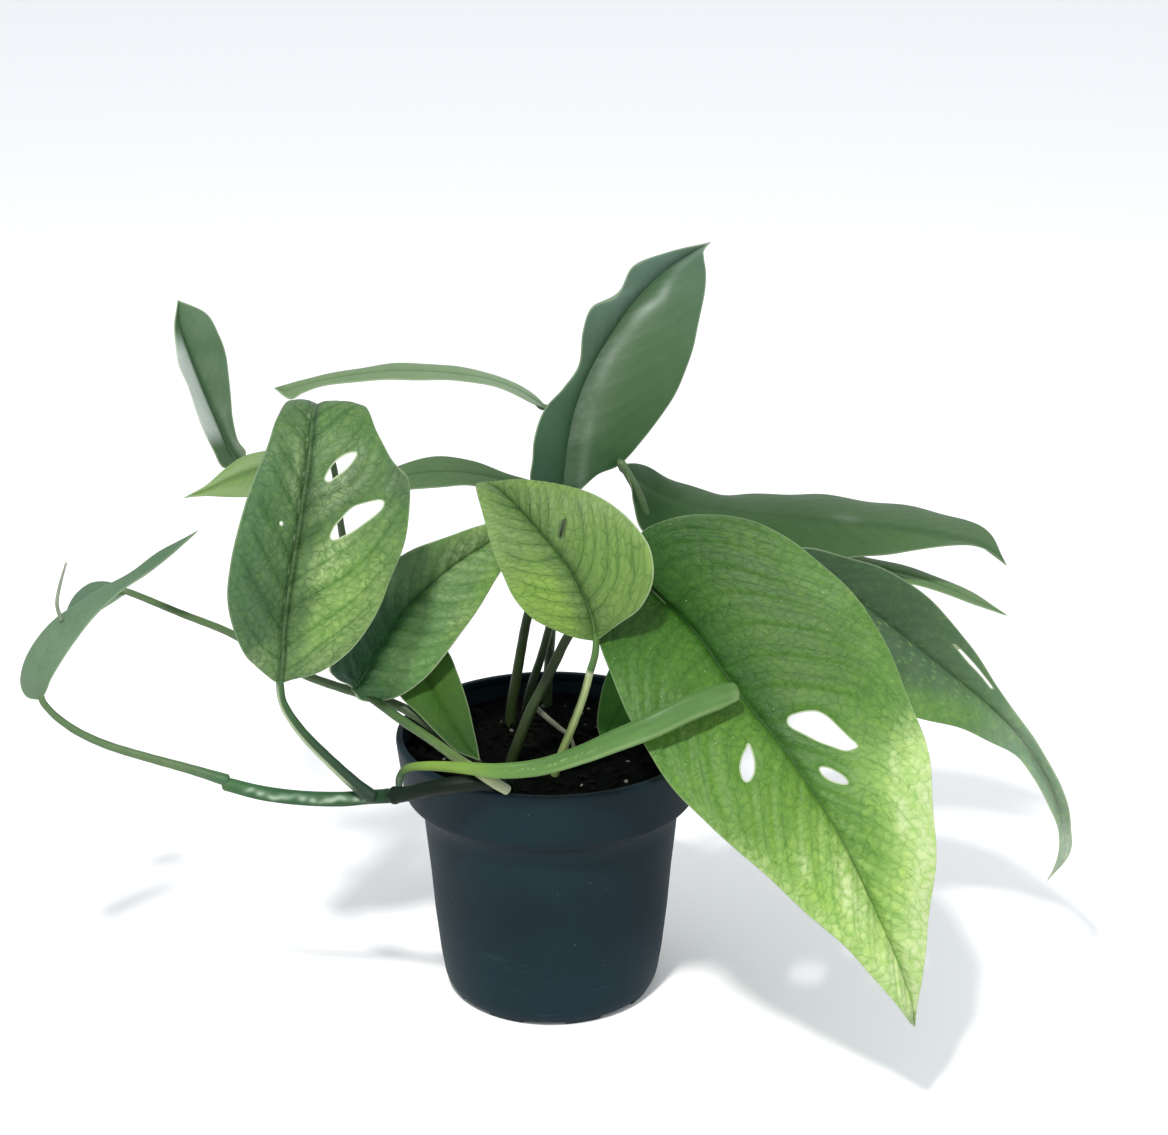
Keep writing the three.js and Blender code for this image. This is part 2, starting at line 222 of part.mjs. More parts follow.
// A stem along a curve, round or flattened, with its radius given at each control point and both ends closed.
function stem(spec, grow = 0, steps = 2) {
  const at = spline(spec.path);
  const last = spec.path.length - 1;
  const count = last * steps;
  const centre = [];
  const radius = [];
  for (let i = 0; i <= count; i++) {
    const u = (i * last) / count;
    centre.push(at(u));
    const k = Math.min(Math.floor(u), last - 1);
    radius.push(THREE.MathUtils.lerp(spec.r[k], spec.r[k + 1], u - k) + grow);
  }
  if (grow > 0) {
    const a = centre[0].clone().sub(centre[1]).normalize();
    centre[0] = centre[0].clone().addScaledVector(a, grow);
    const b = centre[count].clone().sub(centre[count - 1]).normalize();
    centre[count] = centre[count].clone().addScaledVector(b, grow);
  }
  const n = spec.r[0] > 2.5 || last > 10 ? STEM_SIDES : PETIOLE_SIDES;
  const vertices = [];
  const triangles = [];
  let side = new THREE.Vector3(0, 1, 0);
  for (let i = 0; i <= count; i++) {
    const t = centre[Math.min(i + 1, count)].clone().sub(centre[Math.max(i - 1, 0)]).normalize();
    side.addScaledVector(t, -side.dot(t));
    if (side.lengthSq() < 1e-4) side.set(1, 0, 0).addScaledVector(t, -t.x);
    side.normalize();
    const up = new THREE.Vector3().crossVectors(t, side);
    for (let k = 0; k < n; k++) {
      const a = (k * 2 * Math.PI) / n;
      const p = centre[i].clone()
        .addScaledVector(side, Math.cos(a) * radius[i] * (spec.flat ?? 1))
        .addScaledVector(up, Math.sin(a) * radius[i]);
      vertices.push(p.x, p.y, p.z);
    }
  }
  for (let i = 0; i < count; i++) {
    for (let k = 0; k < n; k++) {
      const a = i * n + k, b = i * n + ((k + 1) % n), c = a + n, d = b + n;
      triangles.push(a, b, d, a, d, c);
    }
  }
  const tail = vertices.length / 3;
  vertices.push(centre[0].x, centre[0].y, centre[0].z, centre[count].x, centre[count].y, centre[count].z);
  for (let k = 0; k < n; k++) {
    const m = (k + 1) % n;
    triangles.push(tail, m, k, tail + 1, count * n + k, count * n + m);
  }
  return solid(fromGrid(vertices, triangles));
}

// One leaf half meets the other along the midrib; v runs from -1 at the left edge to +1 at the right edge.
function bladeGrid(leaf, us, vs) {
  const mid = spline(leaf.mid), left = spline(leaf.left), right = spline(leaf.right);
  const rows = us.map((u) => {
    const m = mid(u), l = left(u), r = right(u);
    return vs.map((v) => {
      const e = v < 0 ? l : r;
      return { p: m.clone().lerp(e, Math.abs(v)), w: e.distanceTo(m) };
    });
  });
  const nu = us.length, nv = vs.length;
  const normal = rows.map((row, i) => row.map((_, j) => {
    const a = rows[Math.min(i + 1, nu - 1)][j].p.clone().sub(rows[Math.max(i - 1, 0)][j].p);
    const b = rows[i][Math.min(j + 1, nv - 1)].p.clone().sub(rows[i][Math.max(j - 1, 0)].p);
    return a.cross(b).normalize().multiplyScalar(leaf.side);
  }));
  return rows.map((row, i) => row.map((q, j) => {
    const a = Math.abs(vs[j]);
    return { p: q.p.clone().addScaledVector(normal[i][j], leaf.bulge * q.w * 4 * a * (1 - a)), n: normal[i][j] };
  }));
}

function blade(leaf) {
  const last = leaf.mid.length - 1;
  const nu = Math.max(9, Math.round(last * 1.25)) + 1;
  const wide = Math.max(...leaf.left.map((p, i) => vec(p).distanceTo(vec(leaf.mid[i])))) > 15;
  const us = [], vs = wide ? [-1, -0.66, -0.33, 0, 0.33, 0.66, 1] : [-1, -0.5, 0, 0.5, 1];
  for (let i = 0; i < nu; i++) us.push(0.16 + ((last - 0.28) * i) / (nu - 1));
  const grid = bladeGrid(leaf, us, vs);
  const nv = vs.length;
  const vertices = [], triangles = [];
  for (const s of [0.5, -0.5]) {
    for (const row of grid) for (const q of row) {
      const p = q.p.clone().addScaledVector(q.n, s * BLADE);
      vertices.push(p.x, p.y, p.z);
    }
  }
  const base = nu * nv;
  const quad = (a, b, c, d) => {
    if (leaf.side > 0) triangles.push(a, b, c, a, c, d);
    else triangles.push(a, c, b, a, d, c);
  };
  for (let i = 0; i < nu - 1; i++) {
    for (let j = 0; j < nv - 1; j++) {
      const a = i * nv + j, b = a + nv, c = b + 1, d = a + 1;
      quad(a, b, c, d);
      quad(base + a, base + d, base + c, base + b);
    }
    const l = i * nv, r = l + nv - 1;
    quad(l, base + l, base + l + nv, l + nv);
    quad(r, r + nv, base + r + nv, base + r);
  }
  const e = (nu - 1) * nv;
  for (let j = 0; j < nv - 1; j++) {
    quad(j, j + 1, base + j + 1, base + j);
    quad(e + j, base + e + j, base + e + j + 1, e + j + 1);
  }
  let body = solid(fromGrid(vertices, triangles));
  for (const hole of leaf.holes) {
    const ring = hole.map(([u, v]) => {
      const g = bladeGrid(leaf, [u - 0.02, u, u + 0.02], [v - 0.02, v, v + 0.02]);
      return g[1][1];
    });
    const n = new THREE.Vector3();
    const c = new THREE.Vector3();
    for (const q of ring) { n.add(q.n); c.add(q.p); }
    n.normalize();
    c.divideScalar(ring.length);
    // the opening is an extruded outline in the plane of the blade at that place
    const x = ring[0].p.clone().sub(c).addScaledVector(n, -ring[0].p.clone().sub(c).dot(n)).normalize();
    const y = new THREE.Vector3().crossVectors(n, x);
    const outline = new THREE.Shape(ring.map((q) => {
      const d = q.p.clone().sub(c);
      return new THREE.Vector2(d.dot(x), d.dot(y));
    }));
    const cutter = new THREE.ExtrudeGeometry(outline, { depth: 16, bevelEnabled: false, steps: 1 });
    cutter.translate(0, 0, -8);
    cutter.applyMatrix4(new THREE.Matrix4().makeBasis(x, y, n).setPosition(c));
    body = body.subtract(solid(cutter));
  }
  return body;
}

// ---------------------------------------------------------------- pot and growing medium
function pot() {
  const W = WALL;
  const outer = [
    [FOOT_OUTER, 0], [42.3, 5], [44.1, 16.5], [46, 34], [47.4, 51.5], [48.9, 66], [49.6, 73.5],
    [50.9, 78.3], [53.2, 81.6], [57.2, 84.4], [RIM_RADIUS, 105.9], [RIM_RADIUS - 0.4, POT_HEIGHT],
  ];
  const inner = [
    [RIM_RADIUS - LIP_WIDTH, POT_HEIGHT], [RIM_RADIUS - LIP_WIDTH, 104.9], [58.3, 103.4], [55.7, 85.9],
    [52.3, 83.1], [49.6, 79.3], [48.1, 74], [48.9 - W, 66.1], [47.4 - W, 51.5], [46 - W, 34], [44.1 - W, 17], [40.5, WEB_HIGH],
  ];
  const under = [[0, WEB_HIGH], [0, 0], [PAD_RADIUS, 0], [PAD_RADIUS + 0.6, WEB_LOW], [FOOT_INNER - 0.3, WEB_LOW], [FOOT_INNER, 0]];
  const ring = [...under.slice(1), ...outer, ...inner, under[0]];
  const profile = ring.map(([r, z]) => new THREE.Vector2(r, z));
  const lathe = new THREE.LatheGeometry(profile, POT_SEGMENTS);
  lathe.rotateX(Math.PI / 2);
  let body = solid(lathe);
  if (body.volume() < 0) throw new Error('the pot is inside out');
  for (let i = 0; i < NOTCH_COUNT; i++) {
    const a = THREE.MathUtils.degToRad(NOTCH_START + (360 / NOTCH_COUNT) * i);
    const cut = new THREE.BoxGeometry(9, NOTCH_WIDTH, NOTCH_HEIGHT + 1);
    cut.translate(38.9, 0, NOTCH_HEIGHT / 2 - 0.5);
    cut.rotateZ(a);
    body = body.subtract(solid(cut));
  }
  for (let i = 0; i < DRAIN_COUNT; i++) {
    const a = THREE.MathUtils.degToRad(NOTCH_START + (360 / DRAIN_COUNT) * (i + 0.5));
    const hole = new THREE.CylinderGeometry(DRAIN_RADIUS, DRAIN_RADIUS, 6, 10);
    hole.rotateX(Math.PI / 2);
    hole.translate(DRAIN_PITCH_RADIUS * Math.cos(a), DRAIN_PITCH_RADIUS * Math.sin(a), WEB_HIGH - 1);
    body = body.subtract(solid(hole));
  }
  return body;
}

function growingMedium() {
  const g = SOIL_GAP, W = WALL + SOIL_GAP;
  const profile = [
    [0, WEB_HIGH + g], [39.8, WEB_HIGH + g], [44.1 - W, 17.3], [47.4 - W, 51.5], [48.9 - W, 66.3], [47.7, 74.1],
    [49.15, 79.5], [51.95, 83.5], [55.2, 86.2], [57.0, SOIL_EDGE], [38, 100.2], [0, SOIL_CROWN],
  ].map(([r, z]) => new THREE.Vector2(r, z));
  const lathe = new THREE.LatheGeometry(profile, POT_SEGMENTS / 2);
  lathe.rotateX(Math.PI / 2);
  return solid(lathe);
}

// ---------------------------------------------------------------- assembly
// Which stem carries each blade, and which stem each side stem grows from.
const CARRIES = {
  leaf_a: 'petiole_a', leaf_b: 'petiole_b', leaf_c: 'petiole_c', leaf_c2: 'petiole_c2', leaf_d: 'petiole_d',
  leaf_e: 'petiole_e', leaf_f: 'petiole_f', leaf_g: 'petiole_g', leaf_h: 'petiole_h', leaf_i: 'petiole_i',
  leaf_j: 'petiole_j', leaf_k: 'petiole_k', leaf_k2: 'stem_k2', leaf_l: 'petiole_l', leaf_n: 'petiole_n',
  leaf_p: 'petiole_p',
};
const GROWS_FROM = {
  petiole_f: 'vine', petiole_k: 'vine', petiole_l: 'vine', young_leaf: 'vine', petiole_n: 'stem_k2', aerial_root: 'petiole_a',
};

const COLOURS = {
  pot: [0x2f3d45, 0.62], growing_medium: [0x1d1712, 0.95], vine: [0x35583f, 0.45],
  leaf_a: [0xa3bf6c, 0.45], leaf_b: [0x6f9a75, 0.45], leaf_c: [0x5c8464, 0.45], leaf_c2: [0x74a080, 0.45],
  leaf_d: [0xa9bd72, 0.45], leaf_e: [0x64866a, 0.4], leaf_f: [0x93ae74, 0.45], leaf_g: [0x7f9c86, 0.45],
  leaf_h: [0x7f9c86, 0.45], leaf_i: [0x87a58f, 0.4], leaf_j: [0x8fb07c, 0.45], leaf_k: [0x7a9a80, 0.45],
  leaf_k2: [0x7a9a80, 0.45], leaf_l: [0x7fa36b, 0.4], leaf_n: [0x5d8245, 0.5], leaf_p: [0x4e7550, 0.5],
  young_leaf: [0xa9cc7c, 0.3], aerial_root: [0x9fa586, 0.6], dried_tip: [0x6d5a40, 0.8],
};

const stems = {};
for (const name of Object.keys(TUBES)) stems[name] = stem(TUBES[name]);

let medium = growingMedium();
for (const name of Object.keys(TUBES)) {
  const grown = stem(TUBES[name], GAP);
  if (medium.intersect(grown).volume() > 0.001) medium = medium.subtract(grown);
}
for (const [child, parent] of Object.entries(GROWS_FROM)) {
  stems[child] = largest(stems[child].subtract(stem(TUBES[parent], GAP)));
}

const pieces = { pot: pot(), growing_medium: medium, ...stems };
for (const [name, leaf] of Object.entries(LEAVES)) {
  pieces[name] = largest(blade(leaf).subtract(stem(TUBES[CARRIES[name]], GAP)));
}
pieces.dried_tip = largest(pieces.dried_tip.subtract(blade({ ...LEAVES.leaf_k, holes: [] }).add(stem(TUBES.petiole_k, GAP))));

const object = new THREE.Group();
object.name = 'potted_cebu_blue_pothos';
for (const [name, body] of Object.entries(pieces)) {
  const [colour, roughness] = COLOURS[name] ?? [0x6f9a5e, 0.4];
  const mesh = new THREE.Mesh(
    geometryOf(body),
    new THREE.MeshStandardMaterial({ color: colour, roughness, metalness: 0 }),
  );
  mesh.name = name;
  object.add(mesh);
}

export default object;
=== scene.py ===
"""Potted cebu blue pothos: the finish of every surface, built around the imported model.

Everything is in metres in the model's own frame. The leaf and stem tables below are the model's own
control tables in millimetres, so each blade and stem made here lies where its solid lies.
"""

import math
import random

import bmesh
import bpy
import numpy as np
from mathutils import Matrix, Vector


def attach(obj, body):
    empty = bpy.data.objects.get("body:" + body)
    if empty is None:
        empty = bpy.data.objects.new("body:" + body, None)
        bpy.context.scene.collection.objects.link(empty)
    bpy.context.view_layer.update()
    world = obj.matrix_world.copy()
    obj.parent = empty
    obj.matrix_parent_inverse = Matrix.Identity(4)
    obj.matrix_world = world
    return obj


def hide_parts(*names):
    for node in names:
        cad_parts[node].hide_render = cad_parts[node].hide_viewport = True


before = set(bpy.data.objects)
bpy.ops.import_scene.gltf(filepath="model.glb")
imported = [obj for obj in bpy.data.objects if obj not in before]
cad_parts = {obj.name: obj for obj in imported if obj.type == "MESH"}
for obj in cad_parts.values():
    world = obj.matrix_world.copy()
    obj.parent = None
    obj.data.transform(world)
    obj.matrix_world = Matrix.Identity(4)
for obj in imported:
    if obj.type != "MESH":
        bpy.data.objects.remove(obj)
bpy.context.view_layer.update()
MM = 0.001
scene = bpy.context.scene

WORLD_STRENGTH = 0.95
LIGHTS = (
    ("key", (-0.22, -0.78, 1.30), (0.0, -0.02, 0.15), 0.14, 21.0, (1.0, 0.985, 0.95)),
    ("fill", (0.95, -0.85, 0.75), (0.0, 0.0, 0.15), 0.9, 3.5, (0.96, 0.98, 1.0)),
)
# how much of the light a surface sends back, against the colour that it is seen in under the studio light
LIT = 0.47
POT_A, POT_B, POT_LOW = (12, 28, 33), (15, 33, 40), (19, 40, 49)

# ------------------------------------------------------------------ camera, floor, light
cam_data = bpy.data.cameras.new("view")
cam_data.lens = 90.0
cam_data.sensor_width = 36.0
cam_data.sensor_fit = "HORIZONTAL"
cam_data.clip_start = 0.05
cam_data.clip_end = 50.0
cam = bpy.data.objects.new("view", cam_data)
cam.location = (0.0, -1.035, 0.573)
cam.rotation_euler = (math.radians(68.98), 0.0, math.radians(-0.72))
scene.collection.objects.link(cam)
scene.camera = cam

scene.view_settings.view_transform = "Standard"
scene.view_settings.look = "None"
scene.view_settings.exposure = 0.0
scene.view_settings.gamma = 1.0

world = bpy.data.worlds.new("studio")
scene.world = world
world.use_nodes = True
world.node_tree.nodes["Background"].inputs["Color"].default_value = (0.93, 0.96, 1.0, 1.0)
world.node_tree.nodes["Background"].inputs["Strength"].default_value = WORLD_STRENGTH


def area_light(name, at, aim, size, power, colour):
    data = bpy.data.lights.new(name, "AREA")
    data.shape = "DISK"
    data.size = size
    data.energy = power
    data.color = colour
    ob = bpy.data.objects.new(name, data)
    ob.location = at
    ob.rotation_euler = (Vector(aim) - Vector(at)).to_track_quat("-Z", "Y").to_euler()
    scene.collection.objects.link(ob)
    return ob


for spec in LIGHTS:
    area_light(*spec)


# ------------------------------------------------------------------ control tables, mm
LEAVES = {
    "leaf_a": dict(bulge=0.05, side=1,
        mid=[[32.9,-8,174.4],[35.1,-11,173.1],[38.4,-15,171.8],[43.1,-20,168.6],[49.2,-27,165.3],[56.6,-36,159.3],[65.4,-47,149.5],[75.5,-59,139.5],[85.2,-69,130.4],[94.5,-79,119],[103.5,-88,106.5],[111.2,-95,92.3],[119.1,-101,75.6],[126.4,-106,58],[131.5,-109,38.3]],
        left=[[32.9,-8,174.4],[24.8,-15.8,173],[19.4,-26.2,169.1],[17.7,-36.9,162.7],[20.5,-48.2,156.6],[28.2,-64.1,142.4],[41.2,-79.8,124.5],[55.2,-91.8,112.7],[72.8,-101.3,99.8],[90.4,-109.3,85.4],[105.6,-114.5,72.9],[116.4,-117.2,61],[123.6,-117.5,51.4],[128.1,-114.8,44.5],[131.5,-109,38.3]],
        right=[[32.9,-8,174.4],[29.5,-7.6,181.1],[31.7,-7.7,188.8],[39.5,-8.3,195.8],[56.1,-11.5,200.9],[77,-18.1,200],[99.7,-29.5,188.4],[118,-44,171.8],[130.3,-60.1,148],[136.8,-72.3,131.5],[138.3,-83.4,114.4],[138.7,-92.3,96.4],[136.1,-100.1,76.2],[133.6,-106.7,55.4],[131.5,-109,38.3]],
        holes=[[[7.51,0.14],[7.45,0.17],[7.48,0.22],[7.55,0.29],[7.65,0.35],[7.81,0.39],[8.04,0.42],[8.28,0.45],[8.48,0.48],[8.51,0.44],[8.48,0.38],[8.31,0.31],[8.11,0.24],[7.85,0.18],[7.65,0.14]],
            [[8.64,0.15],[8.71,0.20],[8.87,0.25],[9.01,0.28],[9.11,0.28],[9.07,0.23],[8.94,0.17],[8.77,0.14]],
            [[7.12,-0.25],[7.25,-0.28],[7.38,-0.33],[7.45,-0.41],[7.41,-0.49],[7.32,-0.51],[7.18,-0.46],[7.12,-0.37],[7.12,-0.29]]]),
    "leaf_d": dict(bulge=0.05, side=-1,
        mid=[[16.9,-42,162.4],[16.5,-42.5,165.4],[15.8,-43,170.4],[14.3,-43,175.5],[11.7,-42,181.8],[8.1,-40,188.9],[3.4,-37.5,195],[-2.4,-34,201.1],[-8.3,-29,206.3],[-13.8,-23,210.4],[-18.6,-16,212.3],[-24.4,-7,212.3]],
        left=[[16.9,-42,162.4],[10.2,-44.2,164.5],[2.2,-46.8,168.4],[-6.2,-48.1,173.7],[-13.1,-47.2,181.6],[-17.4,-44.4,190.3],[-20.6,-40.9,197.2],[-22.8,-36.3,204],[-25,-30,210.3],[-26.6,-23.6,213.5],[-27.1,-16.2,214.3],[-24.4,-7,212.3]],
        right=[[16.9,-42,162.4],[20.5,-43.3,165.7],[25.6,-45.3,170.4],[32.8,-46.7,176.9],[37.2,-46.3,186.1],[37.5,-44.4,195.1],[34.6,-41.6,202.6],[26.4,-36.9,211],[15.9,-31.1,215.9],[2.4,-24.1,217.8],[-11.2,-16.3,216.3],[-24.4,-7,212.3]],
        holes=[[[6.74,0.15],[7.02,0.23],[7.31,0.34],[7.31,0.38],[6.97,0.27],[6.71,0.17]]]),
    "leaf_f": dict(bulge=0.05, side=-1,
        mid=[[-100.1,-40,145],[-99.9,-41,147.4],[-99.2,-42.5,152.5],[-98.4,-44,159.5],[-97.7,-45,167.8],[-96.2,-45,178.4],[-94,-44,190.9],[-91.6,-41,204.1],[-89.7,-37,216.2],[-87.9,-32,226.7],[-87,-26,235.4],[-86.7,-17,242],[-86,-6,242.7],[-85,8,236.6],[-84,22,227.3],[-83.1,32,217.6]],
        left=[[-100.1,-40,145],[-103.3,-43.6,148.5],[-107.7,-48.9,155.6],[-111.6,-54.2,163.8],[-114.7,-57.5,175.7],[-115.8,-59.3,188.1],[-114.3,-59.1,199.5],[-111.6,-56.6,210],[-108.5,-50.5,221.1],[-105.2,-44.1,229.1],[-101.8,-35.2,235.9],[-99.4,-22.4,241.9],[-97.3,-7.1,243.5],[-93.2,8.6,238],[-87.8,22,227.3],[-83.1,32,217.6]],
        right=[[-100.1,-40,145],[-95.5,-40.8,146.9],[-85.7,-42.2,150.3],[-76.2,-43.1,157],[-69,-43.8,164.8],[-62.8,-43.4,175.6],[-57.5,-42.1,188.1],[-52.6,-39.1,200.9],[-50.7,-34.9,213.3],[-51.4,-30.7,222.3],[-57.2,-29,228.6],[-62.5,-21.6,236.9],[-67.4,-9,242],[-73.8,8.1,237.3],[-78.7,22.2,228],[-83.1,32,217.6]],
        holes=[[[7.02,0.31],[7.27,0.33],[7.45,0.37],[7.70,0.43],[7.87,0.49],[7.98,0.58],[8.09,0.70],[8.05,0.75],[7.87,0.74],[7.66,0.68],[7.48,0.61],[7.30,0.54],[7.16,0.48],[7.06,0.42],[6.95,0.35]],
            [[8.69,0.19],[8.98,0.22],[9.37,0.30],[9.72,0.43],[9.86,0.55],[9.51,0.48],[9.08,0.38],[8.80,0.29],[8.62,0.23]],
            [[7.30,-0.35],[7.38,-0.37],[7.41,-0.32],[7.30,-0.29],[7.27,-0.31]]]),
    "leaf_l": dict(bulge=0.05, side=-1,
        mid=[[-75.1,-8,129.4],[-73.4,-9,131.5],[-71.4,-9,134.4],[-68.2,-9,140.1],[-63.5,-8,147.9],[-57.7,-6,156.5],[-51.2,-4,164.3],[-43.2,-1,170.8],[-34.1,3,177],[-24.6,7,181.9],[-15.9,11,186.5],[-7.5,15,191.9]],
        left=[[-75.1,-8,129.4],[-77.8,-11.7,132.6],[-81.6,-15.7,136.9],[-83.4,-19.3,142.5],[-79.8,-18.8,151.7],[-74,-16.4,161.6],[-67.5,-13.8,171.9],[-60.7,-11,180.4],[-51.8,-6.4,185.1],[-39.1,-0.3,188],[-26,5.7,190.5],[-7.5,15,191.9]],
        right=[[-75.1,-8,129.4],[-73.5,-10.9,126.1],[-67.3,-12.2,125.3],[-57.3,-13.1,128.2],[-47.7,-12.4,134.9],[-39.6,-10.1,144.2],[-31.9,-7.4,154.1],[-25,-3.4,163.5],[-18.9,1.6,172.5],[-13.2,6.3,179.7],[-9,10.7,185.4],[-7.5,15,191.9]],
        holes=[]),
    "leaf_e": dict(bulge=0.05, side=-1,
        mid=[[5.2,12,196.2],[5.2,13,199.1],[5.2,15,203.6],[6,19,211.1],[7.2,23,218.6],[9.2,29,226.7],[12.7,35,235.6],[17.7,41,244.9],[24.4,47,254.3],[31.4,53,262.9],[39.3,59,270],[47.2,65,275.1],[54.8,70,278.6],[63.6,75,282.5]],
        left=[[5.2,12,196.2],[-2.4,4.7,200.9],[-7.3,2.2,209],[-6.5,6.4,217.1],[-5.3,10.3,224.5],[-1.5,18.4,232.9],[5.4,27.8,237.9],[11.5,35.1,244.7],[12.7,36.3,257.5],[16.6,40.1,266.3],[26.7,49.4,269.5],[32.5,54.3,278.5],[46.3,64,281.4],[63.6,75,282.5]],
        right=[[5.2,12,196.2],[11.7,14.5,201.3],[18.6,17.4,206.4],[27,20.4,209.3],[34.8,25,216.6],[43.4,31.9,225.6],[50.4,38.5,235.5],[55.2,45,246.8],[58.4,51.3,258.5],[60.5,57,268.1],[61.1,61.9,274],[60.5,66.9,278.6],[60.7,70.9,280.3],[63.6,75,282.5]],
        holes=[]),
    "leaf_c": dict(bulge=0.05, side=1,
        mid=[[27.7,16,211.2],[31.6,19,206.1],[36.8,24,199.5],[44.7,29,193.2],[56.6,33,188],[70.5,37,184],[86.4,39,181.5],[104.2,40,179.4],[121.8,39,178],[139.2,36,177],[155.4,31,175.8],[167.2,25,174.3],[177,18,168.2]],
        left=[[27.7,16,211.2],[30.7,14.2,203],[32.3,14.8,195.1],[35.4,12.5,185.7],[45.3,11,177.2],[61.7,14,171.9],[82,17.4,169.7],[102.8,21.2,169],[122.5,24.3,169.8],[142.2,26.3,171.4],[157.8,27.1,173.5],[168.2,23.5,173.2],[177,18,168.2]],
        right=[[27.7,16,211.2],[34.1,26.8,207.9],[41.5,38,200.3],[52,45.8,193],[64.2,50.8,187],[82,62.2,182],[100.7,70.2,179.5],[118.7,68.3,178.4],[136.3,63.3,177.5],[152.1,55.1,177.5],[164.5,43.5,177.4],[172.7,31.2,175.7],[177,18,168.2]],
        holes=[]),
    "leaf_b": dict(bulge=0.05, side=1,
        mid=[[92.3,14,177.5],[96.3,14,174.2],[103.3,13,168.4],[113.1,12,160.9],[123.6,10,153.3],[134.5,8,144.9],[146.1,5,136],[157.7,2,127.2],[168,-2,119.6],[178.4,-6,110.3],[187.9,-9,98],[195.8,-11,83.1],[200.1,-11,68.9],[201.2,-9,56.1],[195.7,-6,44.1]],
        left=[[92.3,14,177.5],[93.2,12.4,168.3],[94.5,9.7,155.6],[101.2,6.5,140.2],[112.9,2.5,126.4],[127.7,0,117.2],[145.1,-2.2,112.2],[159.4,-3.6,108.9],[170.6,-7.7,104.8],[180.5,-10.8,99.8],[187.5,-14.1,90.6],[193.4,-14.9,80.3],[197.4,-13.1,69.1],[198.5,-10.6,57.4],[195.7,-6,44.1]],
        right=[[92.3,14,177.5],[100.7,12.4,178.1],[112.7,9.5,175.8],[127.2,6.8,171.9],[141.6,3.3,164.1],[152.6,1.2,153.4],[162.8,-1.3,141.1],[172.4,-3.9,126.7],[180.4,-8.7,116.1],[187.9,-12.8,106.6],[194.7,-15.8,94.4],[200.4,-16.3,81.8],[202.4,-13.5,70.1],[203.2,-10.3,58.5],[195.7,-6,44.1]],
        holes=[[[5.76,0.72],[5.82,0.77],[6.25,0.82],[6.68,0.87],[7.02,0.87],[7.05,0.78],[6.68,0.76],[6.29,0.67]]]),
    "leaf_c2": dict(bulge=0.05, side=1,
        mid=[[99.1,46,166.7],[105.1,46,164.1],[115,45,161.1],[126.1,44,158.4],[136.7,42,156.6],[147.2,40,154.4],[158.1,37,151.2],[168.8,33,147.2],[180.1,28,143.3]],
        left=[[99.1,46,166.7],[104.4,41.8,163.6],[114.4,38.5,160.2],[125.3,35.8,157.4],[135.9,34.6,155.7],[146.5,33.5,153.5],[157.1,32,150.7],[168,29.6,146.9],[180.1,28,143.3]],
        right=[[99.1,46,166.7],[105.8,50,164.3],[116.4,51.1,161.3],[127.7,52,158.8],[138.4,50,156.9],[148.9,47,154.6],[159.7,43.1,151.4],[170.3,38.1,147.3],[180.1,28,143.3]],
        holes=[]),
    "leaf_g": dict(bulge=0.05, side=-1,
        mid=[[-0.4,54,221],[-5.5,53,225.5],[-13.2,52,230.3],[-22.9,50,234.6],[-34.4,46,237.9],[-47.7,42,240.4],[-60.9,37,242],[-73.9,32,242],[-85,27,241.6],[-94.2,23,240.6],[-99.7,20,239.5],[-103.6,18,241.4]],
        left=[[-0.4,54,221],[-5.8,49.2,224.6],[-14,46.8,229.5],[-23.5,44.4,234],[-34.9,39,237.3],[-48.1,33.2,239.6],[-61.2,28.4,241.1],[-74.3,25.5,241.3],[-84.7,21.8,240.9],[-92.7,17.3,239.6],[-97.5,15.2,237.9],[-103.6,18,241.4]],
        right=[[-0.4,54,221],[-4.3,54.8,225.3],[-11.3,55.2,230.1],[-21,54.7,234.8],[-33.3,52.2,238.5],[-46.8,49,241.1],[-60.4,43.7,242.8],[-73.9,37.6,242.7],[-85.7,31.5,242.2],[-95.3,27.1,241.3],[-100.3,23.4,240.8],[-103.6,18,241.4]],
        holes=[]),
    "leaf_h": dict(bulge=0.05, side=-1,
        mid=[[4.1,34,191.2],[-6.7,33,195.7],[-18.3,31,200.1],[-29.8,28,203.7],[-41.1,24,205.9],[-52.5,20,206.2],[-62.6,16,204.4],[-71.2,12,201]],
        left=[[4.1,34,191.2],[-7.5,28.4,193.6],[-19,24.4,197.1],[-30.4,21.4,200.7],[-40.9,16,202.2],[-52.2,12.1,202.5],[-62.4,10.8,201.8],[-71.2,12,201]],
        right=[[4.1,34,191.2],[-6,36.6,196.9],[-18,35,201.6],[-29.9,34.8,206.2],[-42.1,32.6,209.1],[-54.2,26.5,208.4],[-64,20.8,205.9],[-71.2,12,201]],
        holes=[]),
    "leaf_i": dict(bulge=0.05, side=-1,
        mid=[[-115.4,8,215],[-118.2,10,215.9],[-121.4,13,220.1],[-125.2,17,227.9],[-129,21,235.8],[-132.4,24,243.6],[-135.4,27,250.9],[-137.9,29,257.8],[-139.8,31,263.9],[-140,33,271.6]],
        left=[[-115.4,8,215],[-121.8,0.3,215.7],[-125.9,3.4,221.4],[-129.7,6.6,228.6],[-132.9,11.6,236],[-135.9,15.1,243.6],[-138.9,17.4,250.4],[-140.2,21.9,256.8],[-141.2,27.4,263.8],[-140,33,271.6]],
        right=[[-115.4,8,215],[-114.5,11.3,218.3],[-117.6,14.1,222.1],[-119.6,18.1,229.5],[-120.4,21.9,236.3],[-121.2,25,244],[-122.3,28.3,251.7],[-124.8,30.3,258.6],[-129.7,32.9,266.5],[-140,33,271.6]],
        holes=[]),
    "leaf_j": dict(bulge=0.05, side=-1,
        mid=[[-81.5,-6,222.8],[-90.7,-7,221.2],[-101.7,-9,219.6],[-110.9,-11,217.6],[-118.9,-13,215.2],[-126.6,-15,212.4],[-135.4,-17,210]],
